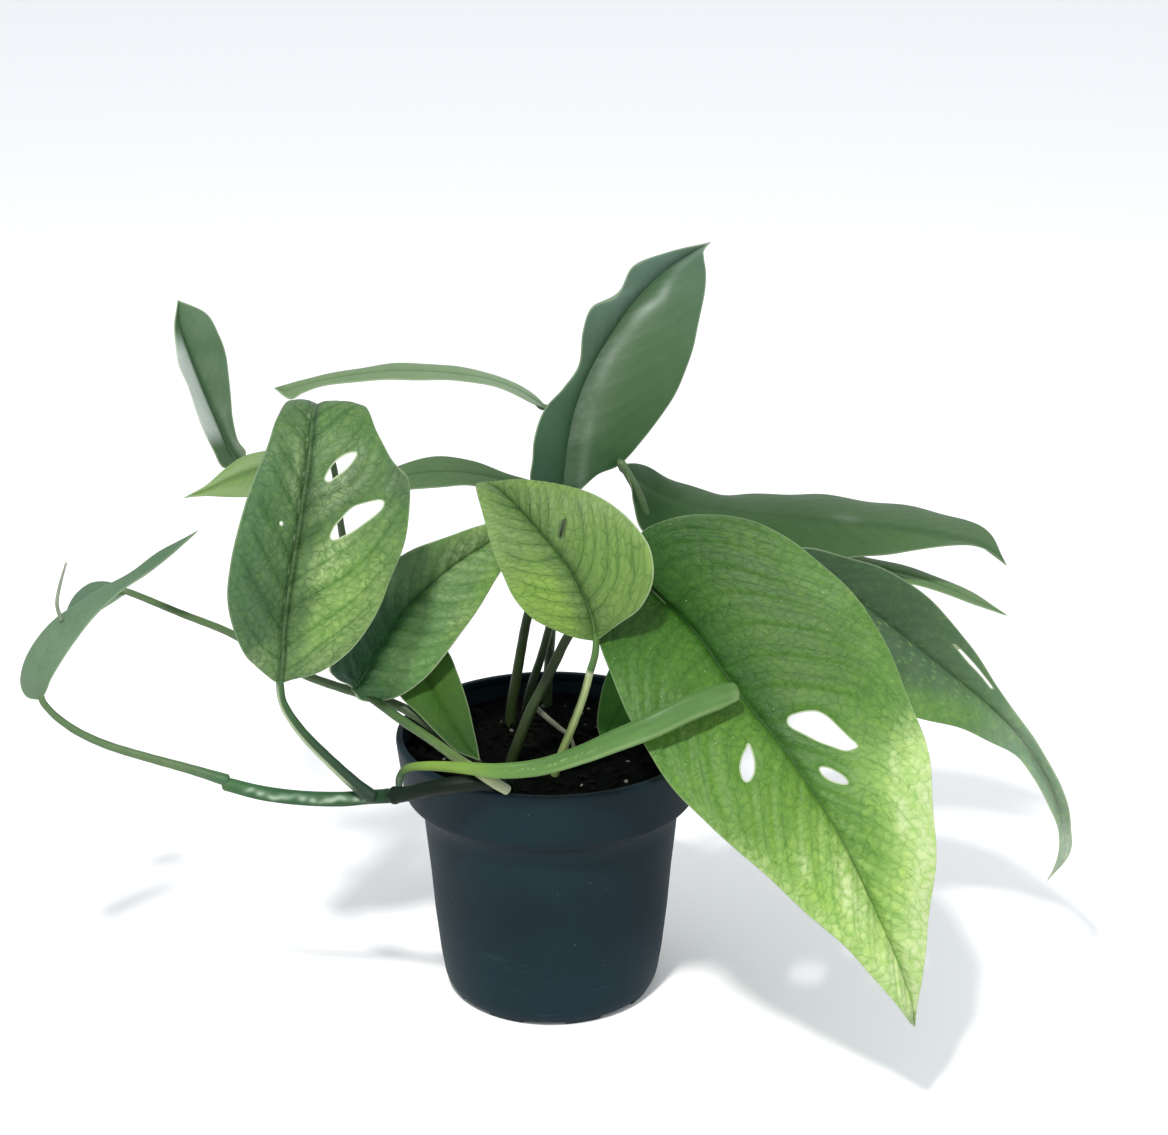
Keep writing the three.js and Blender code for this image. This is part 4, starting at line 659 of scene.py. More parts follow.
    # mean normals of the middle surface
    q = p + 0.0
    g = q.reshape(rows, cols, 3)
    n = np.cross(np.gradient(g, axis=0), np.gradient(g, axis=1)).reshape(-1, 3) * spec["side"]
    bad = np.linalg.norm(n, axis=1) < 1e-7
    n /= np.linalg.norm(n, axis=1, keepdims=True) + 1e-12
    if bad.any():
        good = ~bad
        _, k = nearest(q[bad], q[good][::3])
        n[bad] = n[good][::3][k]
    # keep the two tips of the sheet pointing like their neighbours
    taper = smooth(0.0, 6.0, x) * smooth(0.0, 5.0, sheet.length - x)
    q = q + n * (relief * taper)[:, None]

    d = np.minimum(edge_d, 0.45) / 0.45
    half = 0.5 * T_BLADE * np.sqrt(np.clip(1 - (1 - d) ** 2, 0, 1))
    along = np.clip(x / sheet.length, 0, 1)
    strong = 1 - 0.75 * along
    groove = look.get("groove", 0.55) * strong * np.exp(-(ay / (1.0 * strong + 0.25)) ** 2)
    rib = look.get("rib", 1.15) * strong * np.exp(-(ay / (1.15 * strong + 0.3)) ** 2) * (1 - smooth(sheet.length - 8, sheet.length, x))
    lat_rib = 0.22 * np.exp(-(side_mm / 0.7) ** 2) * fade * (1 - smooth(0.6, 1.0, np.abs(v)))
    top = q + n * (half - groove * np.minimum(d, 1.0))[:, None]
    low = q - n * (half + (rib + lat_rib) * np.minimum(d, 1.0))[:, None]

    count = len(u)
    low_index = np.arange(count) + count
    low_index[rim] = np.arange(count)[rim]
    quads = []
    gone = dead.reshape(rows, cols)
    keep = ~(gone[:-1, :-1] | gone[1:, :-1] | gone[:-1, 1:] | gone[1:, 1:])
    ii, jj = np.nonzero(keep)
    a, b, c, e = index[ii, jj], index[ii + 1, jj], index[ii + 1, jj + 1], index[ii, jj + 1]
    if spec["side"] > 0:
        quads.append(np.stack([a, b, c, e], 1))
        quads.append(np.stack([low_index[a], low_index[e], low_index[c], low_index[b]], 1))
    else:
        quads.append(np.stack([a, e, c, b], 1))
        quads.append(np.stack([low_index[a], low_index[b], low_index[c], low_index[e]], 1))
    faces = np.concatenate(quads)
    verts = np.concatenate([top, low])
    verts[:count][rim] = q[rim]
    used = np.unique(faces)
    remap = np.full(2 * count, -1)
    remap[used] = np.arange(len(used))
    faces = remap[faces]

    ctx = dict(x=x, y=y, v=v, w=w, t=x / sheet.length, edge=edge_d, margin=margin, hole=holedist,
               length=sheet.length, foot=foot, reach=np.abs(reach), halfw=halfw)
    tone = look["tone"](ctx)
    # where the tone function paints highlights on the blade
    painted_gleam = np.zeros_like(x)
    if isinstance(tone, tuple):
        tone, painted_gleam = tone
    tone = tone * LIT
    pale = look["edge"](ctx) if "edge" in look else np.full_like(x, 0.35)
    two = lambda arr: np.concatenate([arr, arr])[used]
    under = np.concatenate([np.zeros(count), np.ones(count)])[used]
    attrs = [
        ("net", "FLOAT_VECTOR", two(np.stack([net[:, 0], net[:, 1], lat], 1))),
        ("flat", "FLOAT_VECTOR", two(np.stack([x / 10, y / 10, np.full_like(x, seed)], 1))),
        ("tone", "FLOAT_COLOR", two(np.concatenate([tone, np.ones((count, 1))], 1))),
        ("rim", "FLOAT", two(edge_d)),
        ("painted_gleam", "FLOAT", two(painted_gleam)),
        ("mid", "FLOAT", two(ay / (0.35 + 0.65 * strong))),
        ("under", "FLOAT", under),
        ("pale", "FLOAT", two(pale)),
    ]
    ob = make_object(name, verts[used], faces, material, attrs, weld=0.003, crease=62)
    ob["side_space"] = space
    return ob, sheet


# ------------------------------------------------------------------ leaf colours
def mixc(a, b, f):
    f = np.clip(np.asarray(f), 0, 1)
    if f.ndim == 1:
        f = f[:, None]
    return np.asarray(a) * (1 - f) + np.asarray(b) * f


def blob(c, x, y, rx, ry, lean=0.0):
    dx, dy = c["x"] - x, c["y"] - y
    co, si = math.cos(lean), math.sin(lean)
    ex, ey = (dx * co + dy * si) / rx, (dy * co - dx * si) / ry
    return np.exp(-(ex**2 + ey**2))


def seen(r, g, b):
    """The albedo that looks like this display colour under the studio light."""
    return [c * LIT for c in srgb(r, g, b)]


def rise(stops, t):
    """A colour that changes along t, from (place, display colour) stops."""
    places = [s[0] for s in stops]
    cols = np.array([srgb(*s[1]) for s in stops])
    return np.stack([np.interp(t, places, cols[:, k]) for k in range(3)], 1)


def tone_a(c):
    x, y, t = c["x"], c["y"], c["t"]
    right = smooth(-0.5, 1.0, y)
    # right half: deep green beside the midrib at the base, partly the leaf's own colour and partly painted shade in the
    # midrib's valley, clearing to yellow-green at margin and tip
    r = rise([(0.0, (62, 104, 42)), (0.2, (80, 122, 50)), (0.38, (86, 130, 48)), (0.56, (104, 154, 64)), (0.8, (166, 210, 110)), (1.0, (206, 242, 148))], t)
    r = mixc(r, srgb(54, 102, 36), (1 - smooth(2, 20, y)) * (1 - smooth(0.36, 0.62, t)) * 0.95)
    r = mixc(r, srgb(58, 102, 44), (1 - smooth(0.02, 0.16, t)) * 0.5)
    r = mixc(r, srgb(122, 164, 92), smooth(18, 3, c["margin"]) * smooth(0.03, 0.2, t) * 0.5)
    r = mixc(r, srgb(206, 240, 148), smooth(23, 4, c["margin"]) * smooth(0.49, 0.60, t))
    r = mixc(r, srgb(92, 140, 56), blob(c, 113, 9, 22, 8, -0.1) * 0.75)
    r = mixc(r, srgb(80, 122, 46), blob(c, 40, 14, 14, 6) * 0.5)
    r = mixc(r, srgb(82, 124, 46), blob(c, 70, 22, 16, 8) * 0.5)
    r = mixc(r, srgb(84, 122, 52), blob(c, 22, 38, 12, 6) * 0.5)
    r = mixc(r, srgb(198, 236, 142), blob(c, 124, 24, 20, 12) * 0.4)
    l = rise([(0.0, (54, 104, 34)), (0.14, (74, 122, 42)), (0.35, (96, 144, 54)), (0.55, (122, 166, 70)), (0.72, (168, 210, 106)), (0.86, (206, 242, 144)), (1.0, (212, 246, 154))], t)
    l = mixc(l, srgb(64, 116, 42), smooth(-8, -1, y) * (1 - smooth(0.35, 0.7, t)) * 0.5)
    l = mixc(l, srgb(160, 200, 110), smooth(6, 0, c["margin"]) * smooth(0.5, 0.66, t) * 0.5)
    l = mixc(l, srgb(68, 110, 44), blob(c, 24, -26, 10, 8) * 0.5)
    col = mixc(l, r, right)
    col = mixc(col, srgb(96, 142, 84), smooth(0.955, 0.995, t) * 0.8)
    # painted highlights: a sheen along the right margin and the tip, and short painted glints
    painted_gleam = smooth(13, 3, c["margin"]) * smooth(0.46, 0.66, t) * right * 0.9
    painted_gleam = np.maximum(painted_gleam, 0.7 * blob(c, 151, -8, 18, 6, -0.2))
    painted_gleam = np.maximum(painted_gleam, 0.6 * smooth(0.76, 0.9, t))
    painted_gleam = np.maximum(painted_gleam, 0.3 * (1 - right) * smooth(8, 1, c["margin"]) * smooth(0.42, 0.6, t))
    for gx, gy, rx, ry, k in ((134, 23, 9, 3.0, 0.9), (153, 20, 12, 2.6, 1.0), (147, -10, 11, 2.6, 0.9), (181, -8, 10, 2.6, 0.9),
                              (166, 10, 8, 2.4, 0.7), (119, 30, 7, 2.6, 0.7), (132, -19, 7, 2.2, 0.5), (62, -24, 6, 2.4, 0.35)):
        painted_gleam = np.maximum(painted_gleam, k * blob(c, gx, gy, rx, ry, -0.33))
    return col * np.array([1.0, 1.01, 0.92]), painted_gleam


def tone_d(c):
    x, y, t = c["x"], c["y"], c["t"]
    right = smooth(-1.5, 1.5, y)
    col = rise([(0.0, (124, 158, 82)), (0.3, (124, 158, 84)), (0.6, (122, 152, 88)), (1.0, (124, 156, 86))], t)
    col = mixc(col, srgb(146, 180, 80), (1 - right) * smooth(-3, -9, y) * (1 - smooth(0.3, 0.6, t)) * 0.8)
    col = mixc(col, srgb(98, 128, 76), smooth(10, 1, np.abs(y)) * 0.65)
    col = mixc(col, srgb(138, 172, 96), smooth(5, 1, c["margin"]) * 0.4)
    col = mixc(col, srgb(34, 54, 28), smooth(0.5, 0.1, c["hole"]))
    return col * np.array([1.02, 1.04, 0.90])


def tone_f(c):
    x, y, t = c["x"], c["y"], c["t"]
    right = smooth(-0.5, 1.5, y)
    col = mixc(srgb(96, 132, 80), srgb(102, 140, 80), right)
    col = mixc(col, srgb(88, 128, 86), (1 - right) * smooth(-9, -20, y) * 0.7)
    col = mixc(col, srgb(58, 94, 52), smooth(4.5, 1.0, np.abs(y)) * smooth(0.03, 0.12, t) * 0.55)
    low = right * smooth(5, 12, y) * (1 - smooth(0.24, 0.46, t))
    col = mixc(col, srgb(138, 182, 84), low * 0.85)
    col = mixc(col, srgb(72, 112, 64), (1 - right) * blob(c, 24, -15, 9, 6) * 0.5)
    col = mixc(col, srgb(74, 106, 62), right * blob(c, 66, 7, 14, 6, 0.5) * 0.6)
    col = mixc(col, srgb(78, 112, 64), right * blob(c, 36, 7, 12, 5, 0.5) * 0.6)
    col = mixc(col, srgb(76, 116, 78), (1 - right) * blob(c, 34, -10, 14, 7) * 0.6)
    col = mixc(col, srgb(66, 98, 58), right * blob(c, 84, 15, 9, 6) * 0.7)
    col = mixc(col, srgb(64, 92, 56), right * blob(c, 75, 3, 9, 4) * 0.7)
    col = mixc(col, srgb(74, 108, 66), right * blob(c, 88, 34, 10, 5) * 0.6)
    col = mixc(col, srgb(126, 168, 104), (1 - right) * blob(c, 11, -5, 9, 6) * 0.8)
    col = mixc(col, srgb(130, 168, 104), (1 - smooth(0.05, 0.16, t)) * 0.6)
    col = mixc(col, srgb(112, 148, 84), right * smooth(12, 4, c["margin"]) * (1 - smooth(0.3, 0.45, t)) * 0.5)
    col = mixc(col, srgb(92, 120, 88), smooth(24, 36, y) * smooth(0.44, 0.56, t) * 0.8)
    col = mixc(col, srgb(96, 128, 84), smooth(1.2, 0.4, np.abs(y)) * 0.7)
    col = mixc(col, srgb(46, 78, 42), np.exp(-((y - 1.35) / 0.5) ** 2) * 0.8)
    # painted glints of light along the left flank of the midrib
    painted_glint = np.exp(-((y + 1.2) / 0.40) ** 2) * smooth(0.25, 0.8, np.sin(x * 0.55) + 0.6 * np.sin(x * 1.9 + 1.0))
    col = mixc(col, srgb(186, 212, 168), painted_glint * smooth(0.02, 0.1, t) * 0.7)
    # painted highlights on the blade
    painted_gleam = 0.34 * blob(c, 54, 13, 11, 5, 0.55) + 0.32 * blob(c, 80, 12, 10, 4, 0.55) + 0.28 * blob(c, 15, -11, 6, 4)
    painted_gleam = painted_gleam + 0.22 * blob(c, 84, -5, 12, 2.5) + 0.14 * low
    return col, np.clip(painted_gleam, 0, 0.6)


def tone_l(c):
    x, y, t = c["x"], c["y"], c["t"]
    right = smooth(-1.0, 1.5, y)
    r = rise([(0.0, (84, 130, 84)), (0.2, (116, 164, 92)), (0.45, (114, 154, 92)), (0.7, (126, 162, 96)), (1.0, (142, 176, 100))], t)
    r = mixc(r, srgb(134, 174, 90), smooth(8, 2, c["margin"]) * smooth(0.25, 0.5, t) * 0.8)
    l = rise([(0.0, (38, 80, 54)), (0.35, (46, 86, 52)), (0.55, (98, 134, 80)), (0.8, (132, 164, 94)), (1.0, (138, 168, 98))], t)
    col = mixc(l, r, right)
    col = mixc(col, srgb(122, 158, 90), blob(c, 71, -2, 9, 5) * 0.5)
    col = mixc(col, srgb(120, 168, 90), blob(c, 17, 11, 9, 6) * 0.5)
    col = mixc(col, srgb(52, 104, 58), smooth(6, 0.5, np.abs(y - 0.5)) * (1 - smooth(0.35, 0.6, t)) * 0.85)
    # painted highlights on the blade
    painted_gleam = 0.34 * blob(c, 68, -4, 11, 4) + 0.26 * blob(c, 50, 17, 10, 4) + 0.16 * blob(c, 20, 12, 9, 5)
    return col * np.array([1.05, 1.09, 1.09]), painted_gleam


def tone_e(c):
    x, y, t = c["x"], c["y"], c["t"]
    right = smooth(-1.5, 1.5, y)
    r = rise([(0.0, (50, 84, 52)), (0.16, (58, 94, 54)), (0.4, (72, 106, 66)), (0.65, (86, 118, 82)), (1.0, (96, 126, 104))], t)
    l = rise([(0.0, (52, 86, 60)), (0.2, (74, 108, 80)), (0.45, (90, 120, 96)), (0.62, (106, 134, 116)), (1.0, (100, 128, 110))], t)
    col = mixc(l, r, right)
    col = mixc(col, srgb(56, 90, 58), np.exp(-((y - 1.0) / 4.5) ** 2) * (1 - smooth(0.55, 0.9, t)) * 0.7)
    # painted highlights along the ridge right of the midrib
    ridge = np.interp(x, [30, 60, 83, 94, 108, 122], [7, 5, 5.5, 8, 4, 2])
    power = np.interp(x, [30, 44, 58, 76, 88, 97, 104, 112], [0.2, 0.0, 0.3, 0.2, 0.8, 0.7, 0.2, 0.35])
    col = mixc(col, srgb(176, 190, 178), np.exp(-((y - ridge) / 2.0) ** 2) * power * 0.75)
    col = mixc(col, srgb(176, 182, 172), smooth(0.965, 1.0, t) * 0.7)
    return col


def tone_c(c):
    x, y, t = c["x"], c["y"], c["t"]
    col = rise([(0.0, (54, 88, 50)), (0.14, (42, 80, 36)), (0.27, (70, 104, 62)), (0.5, (70, 104, 60)), (0.75, (88, 122, 78)), (1.0, (106, 134, 98))], t)
    col = mixc(col, srgb(60, 94, 56), smooth(3.5, 0.5, np.abs(y)) * 0.4)
    # a painted highlight beside the midrib
    col = mixc(col, srgb(130, 146, 128), blob(c, 104, 3, 5, 2.5) * 0.5)
    return col


def tone_b(c):
    x, y, t = c["x"], c["y"], c["t"]
    # the paling toward the tail is painted light, lifting the part of the blade that turns away from the light
    col = rise([(0.0, (76, 106, 76)), (0.3, (88, 118, 86)), (0.5, (106, 140, 100)), (0.65, (146, 178, 144)), (1.0, (196, 220, 194))], t)
    col = mixc(col, srgb(134, 184, 88), (1 - smooth(-3, 3, y)) * smooth(17, 4, c["margin"]) * (1 - smooth(0.45, 0.62, t)) * 0.6)
    col = mixc(col, srgb(70, 104, 70), smooth(3.5, 0.5, np.abs(y)) * (1 - smooth(0.45, 0.6, t)) * 0.45)
    # painted light along the folded midrib of the tail, against the shade in the fold
    fold_painted_light = np.exp(-((y - 0.2) / 1.3) ** 2) * smooth(0.55, 0.68, t)
    col = mixc(col, srgb(228, 242, 226), fold_painted_light * 0.85)
    fleck = smooth(0.55, 0.95, np.sin(x * 0.83 + 2.0 * np.sin(y * 0.9)) * np.sin(y * 1.7 + x * 0.31))
    return mixc(col, srgb(140, 184, 112), fleck * (1 - smooth(0.55, 0.7, t)) * (1 - smooth(0, 4, y)) * 0.5)


def tone_g(c):
    return rise([(0.0, (172, 194, 168)), (0.12, (162, 186, 154)), (0.35, (140, 168, 126)), (1.0, (124, 154, 106))], c["t"])


def tone_i(c):
    """The left half is folded over and shows its paler back, with a painted highlight of its shine laid over it."""
    col = rise([(0.0, (82, 114, 80)), (1.0, (92, 124, 90))], c["t"])
    return mixc(col, srgb(216, 226, 220), smooth(-1.2, -3.6, c["y"]) * smooth(0.12, 0.25, c["t"]) * (1 - smooth(0.7, 0.85, c["t"])) * 0.85)


def plain_tone(a, b, light=None):
    def tone(c):
        col = mixc(a, b, smooth(0.1, 0.9, c["t"]))
        if light is not None:
            col = mixc(col, light, smooth(2.5, 0.3, c["margin"]) * 0.5)
        return col
    return tone


def edge_a(c):
    """How strongly the pale rim shows: firm round the holes, where it is painted light on their cut edges, faint along
    the margin.
    """
    return np.maximum(0.25 + 0.0 * c["x"], 2.0 * smooth(2.5, 1.2, c["hole"]))


def edge_d(c):
    pale = 0.15 + 0.6 * smooth(-2, 4, c["y"]) * (1 - smooth(0.35, 0.6, c["t"]))
    return pale * smooth(0.4, 1.2, c["hole"])


def edge_l(c):
    return 0.3 + 1.5 * np.maximum(smooth(0, 3, c["y"]) * (1 - smooth(0.3, 0.6, c["t"])), 1 - smooth(0.05, 0.2, c["t"]))


def edge_f(c):
    return 0.3 + 1.2 * smooth(0, 3, c["y"]) * (1 - smooth(0.1, 0.25, c["t"])) + 1.0 * smooth(2.5, 1.2, c["hole"])


def edge_b(c):
    return np.maximum(0.3 + 0.5 * smooth(0.5, 0.8, c["t"]), 0.8 * smooth(1.5, 0.5, c["hole"]))


def leaf_material(name, space, vein=0.5, fine=0.12, raised_light=0.22, side=0.5, band=0.4, mid_mix=0.6, blotch=0.3, mottle=0.25,
                  gloss=0.5, under_mix=0.55, painted_sparkle=0.0, spec=0.24, relief=1.0, blush=(1.44, 1.30, 1.12)):
    """Blade finish: the net of veins, side veins, midrib, pale rim, mottling and the paler underside, with painted
    highlights and painted light on the raised cells.
    """
    m = Mat(name)
    net, flat = m.vector("net"), m.vector("flat")
    parts = m.xyz(net)
    tone = m.colour("tone")
    # the walls of the net waver a little
    wob_a = m.noise(m.scale(flat, (1.0, 1.0, 1.7)), 5.5, 2.0)
    wob_b = m.noise(m.scale(flat, (1.0, 1.0, 2.9)), 5.5, 2.0)
    wavy = m.scale(net, (1.0, 1.0, 0.0), m.combine(m.math("MULTIPLY_ADD", wob_a, 0.9, -0.45), m.math("MULTIPLY_ADD", wob_b, 0.9, -0.45)))
    wall = m.voronoi(wavy, randomness=1.0)["Distance"]
    cell = m.xyz(m.voronoi(wavy, feature="F1", randomness=1.0)["Color"])[0]
    wall_fine = m.voronoi(m.scale(wavy, (2.3, 2.3, 0.0), (4.7, 1.3, 0.0)), randomness=1.0)["Distance"]
    n_big = m.noise(m.scale(flat, (1.0, 1.0, 3.7)), 0.9, 3.0)
    n_mid = m.noise(m.scale(flat, (1.0, 1.0, 5.1)), 3.2, 3.0)
    n_patch = m.noise(m.scale(flat, (1.0, 1.0, 6.3)), 2.0, 3.0)
    n_small = m.noise(m.scale(flat, (1.0, 1.0, 2.3)), 22.0, 2.0)
    # the net fades in and out, as it does on a young leaf
    some = m.ramp(n_patch, 0.36, 0.62, 0.12, 1.0)
    # the net also fades under the painted highlights
    calmed = m.math("MULTIPLY_ADD", m.value("painted_gleam"), -0.5, 1.0)
    line = m.math("MULTIPLY", m.math("MULTIPLY", m.ramp(wall, 0.01, 0.105, 1.0, 0.0), some), calmed)
    soft = m.ramp(wall, 0.0, 0.30, 1.0, 0.0)
    line_fine = m.math("MULTIPLY", m.ramp(wall_fine, 0.01, 0.13, 1.0, 0.0), m.ramp(n_mid, 0.42, 0.6, 0.1, 1.0))
    tri = m.math("MULTIPLY", m.math("PINGPONG", m.math("ADD", parts[2], 0.5), 0.5), space)
    rim = m.value("rim")
    inner = m.ramp(rim, 0.8, 8.0, 0.15, 1.0)
    lat_line = m.math("MULTIPLY", m.ramp(tri, 0.10, 0.50, 1.0, 0.0), inner)
    lat_band = m.math("MULTIPLY", m.ramp(tri, 0.2, 3.0, 1.0, 0.0), inner)
    mid = m.value("mid")
    mid_line = m.ramp(mid, 0.35, 0.95, 1.0, 0.0)
    mid_band = m.ramp(mid, 0.8, 3.4, 1.0, 0.0)
    rim_line = m.math("MULTIPLY", m.ramp(rim, 0.20, 0.70, 1.0, 0.0), m.value("pale"))

    col = m.mix(m.math("MULTIPLY", m.ramp(n_big, 0.38, 0.66), blotch), tone, m.mix(1.0, tone, (0.72, 0.86, 0.72), "MULTIPLY"))
    col = m.mix(m.math("MULTIPLY", m.ramp(n_mid, 0.48, 0.66), mottle), col, m.mix(1.0, col, blush, "MULTIPLY"))
    # each cell is its own tone, partly paler in its middle and partly painted light on its raised top
    up = m.math("MULTIPLY", m.ramp(wall, 0.06, 0.36), m.ramp(cell, 0.1, 0.9, 0.1, 1.0))
    col = m.mix(m.math("MULTIPLY", up, raised_light), col, m.mix(1.0, col, (1.42, 1.30, 1.18), "MULTIPLY"))
    # painted highlights: pale, whitest on the raised middles of the cells
    painted_gleam = m.math("MULTIPLY", m.value("painted_gleam"), m.math("MULTIPLY", m.ramp(wall, 0.0, 0.16, 0.55, 1.0), m.ramp(n_mid, 0.36, 0.60, 0.2, 1.0)))
    col = m.mix(painted_gleam, col, seen(236, 252, 192))
    dark = m.mix(1.0, col, (0.50, 0.67, 0.46), "MULTIPLY")
    col = m.mix(m.math("MULTIPLY", lat_band, band), col, dark)
    col = m.mix(m.math("MULTIPLY", soft, 0.24 * vein), col, dark)
    col = m.mix(m.math("MULTIPLY", line_fine, fine), col, dark)
    col = m.mix(m.math("MULTIPLY", line, vein), col, m.mix(1.0, col, (0.42, 0.60, 0.36), "MULTIPLY"))
    col = m.mix(m.math("MULTIPLY", lat_line, side), col, m.mix(1.0, col, (0.46, 0.60, 0.48), "MULTIPLY"))
    col = m.mix(m.math("MULTIPLY", mid_band, 0.5 * mid_mix), col, dark)
    col = m.mix(m.math("MULTIPLY", mid_line, mid_mix), col, m.mix(1.0, col, (0.36, 0.50, 0.42), "MULTIPLY"))
    # painted sparkles of light: small white dots on a few cells
    if painted_sparkle:
        spots = m.voronoi(m.scale(flat, (1.5, 1.5, 0.0)), feature="F1", randomness=1.0)
        dot = m.ramp(spots["Distance"], 0.02, 0.038, 1.0, 0.0)
        rare = m.ramp(m.xyz(spots["Color"])[1], 0.84, 0.90)
        col = m.mix(m.math("MULTIPLY", m.math("MULTIPLY", dot, rare), painted_sparkle), col, seen(214, 230, 200))
    # the pale rim: faint along the margin, and round the holes painted light on their cut edges
    col = m.mix(rim_line, col, seen(196, 214, 172))
    # the underside: paler, greyer, its ribs lighter than the sheet; its bright green is partly painted light standing
    # in for light shining through the blade
    below = m.mix(under_mix, col, seen(152, 200, 122))
    below = m.mix(m.math("MULTIPLY", m.math("MAXIMUM", lat_line, mid_line), 0.5), below, seen(172, 204, 140))
    col = m.mix(m.value("under"), col, below)

    wave = m.math("MULTIPLY", m.ramp(wall, 0.0, 0.26), 0.16)
    wave = m.math("ADD", wave, m.math("MULTIPLY", m.ramp(wall_fine, 0.0, 0.25), 0.03))
    wave = m.math("ADD", wave, m.math("MULTIPLY", m.ramp(tri, 0.0, 0.7), 0.10))
    wave = m.math("ADD", wave, m.math("MULTIPLY", n_small, 0.05))
    normal = m.bump(wave, 0.0009 * relief, 0.8)
    rough = m.math("ADD", m.math("MULTIPLY", n_mid, 0.16), gloss - 0.08)
    rough = m.math("ADD", rough, m.math("MULTIPLY", m.value("under"), 0.18), clamp=True)
    m.set(base=col, rough=rough, normal=normal, spec=spec)
    return m.mat


# ------------------------------------------------------------------ stems
def stem_frame(path, radius, steps_mm):
    """Centres, radii, side and up directions along a stem, spaced evenly."""
    path = np.array(path, float)
    last = len(path) - 1
    fine = np.linspace(0, last, 60 * last + 1)
    c = cr(path, fine)
    arc = np.concatenate([[0.0], np.cumsum(np.linalg.norm(np.diff(c, axis=0), axis=1))])
    count = max(4, int(arc[-1] / steps_mm))
    u = np.interp(np.linspace(0, arc[-1], count + 1), arc, fine)
    c = cr(path, u)
    r = np.interp(u, np.arange(last + 1), radius)
    t = np.gradient(c, axis=0)
    t /= np.linalg.norm(t, axis=1, keepdims=True)
    side = np.zeros_like(c)
    s = np.array([0.0, 1.0, 0.0])
    for i in range(len(c)):
        s = s - t[i] * s.dot(t[i])
        if s.dot(s) < 1e-4:
            s = np.array([1.0, 0, 0]) - t[i] * t[i][0]
        s = s / np.linalg.norm(s)
        side[i] = s
    return c, r, t, side, np.cross(t, side), np.linspace(0, arc[-1], count + 1)


def make_stem(name, path, radius, material, tone, sides=20, step=0.9, flat=1.0, shape=None, cap=True, seed=0.0):
    """A closed stem. shape(s, length, a) scales the radius at the arc place s and the angle a."""
    c, r, t, side, up, s = stem_frame(path, radius, step)
    a = np.linspace(0, 2 * math.pi, sides, endpoint=False)
    ss, aa = np.meshgrid(s, a, indexing="ij")
    k = np.ones_like(ss) if shape is None else shape(ss, s[-1], aa)
    rr = r[:, None] * k
    ring = (c[:, None, :] + side[:, None, :] * (np.cos(a)[None, :] * rr * flat)[:, :, None]
            + up[:, None, :] * (np.sin(a)[None, :] * rr)[:, :, None])
    rings = [ring]
    rows = [ss]
    # a short rounded cap at each end
    head = [(0.35, 0.94), (0.7, 0.72), (0.93, 0.38)]
    start = [c[0] + (ring[0] - c[0]) * f - t[0] * r[0] * h * 0.6 for h, f in reversed(head)]
    end = [c[-1] + (ring[-1] - c[-1]) * f + t[-1] * r[-1] * h * 0.6 for h, f in head]
    if cap:
        ring = np.concatenate([np.array(start), ring, np.array(end)])
    n = len(ring)
    verts = ring.reshape(-1, 3)
    idx = np.arange(n * sides).reshape(n, sides)
    faces = []
    for i in range(n - 1):
        for j in range(sides):
            k2 = (j + 1) % sides
            faces.append((idx[i, j], idx[i, k2], idx[i + 1, k2], idx[i + 1, j]))
    tail = len(verts)
    lo = c[0] - t[0] * r[0] * 0.6 if cap else c[0]
    hi = c[-1] + t[-1] * r[-1] * 0.6 if cap else c[-1]
    verts = np.concatenate([verts, [lo, hi]])
    for j in range(sides):
        k2 = (j + 1) % sides
        faces.append((tail, idx[0, k2], idx[0, j]))
        faces.append((tail + 1, idx[-1, j], idx[-1, k2]))
    pad = 3 if cap else 0
    srow = np.concatenate([np.zeros(pad), s, np.full(pad, s[-1])])
    sv = np.concatenate([np.repeat(srow, sides), [0.0, s[-1]]])
    av = np.concatenate([np.tile(a, n), [0.0, 0.0]])
    # for the colours the angle is taken against the room: 0 away from the camera, 90 degrees on the upper side for a stem that runs right
    wide = np.array([0.0, 1.0, 0.0]) - t * t[:, 1:2]
    wide /= np.linalg.norm(wide, axis=1, keepdims=True) + 1e-9
    high = np.cross(t, wide)
    row = np.clip(np.arange(n) - pad, 0, len(c) - 1)
    off = (ring - c[row][:, None, :])
    aw = np.arctan2((off * high[row][:, None, :]).sum(2), (off * wide[row][:, None, :]).sum(2)) % (2 * math.pi)
    aw = np.concatenate([aw.ravel(), [0.0, 0.0]])
    colours = tone(sv / s[-1], sv, aw, verts) * LIT
    attrs = [
        ("along", "FLOAT_VECTOR", np.stack([sv, np.cos(av), np.sin(av)], 1)),
        ("tone", "FLOAT_COLOR", np.concatenate([colours, np.ones((len(verts), 1))], 1)),
    ]
    faces = [f[::-1] for f in faces]
    return make_object(name, verts, faces, material, attrs)


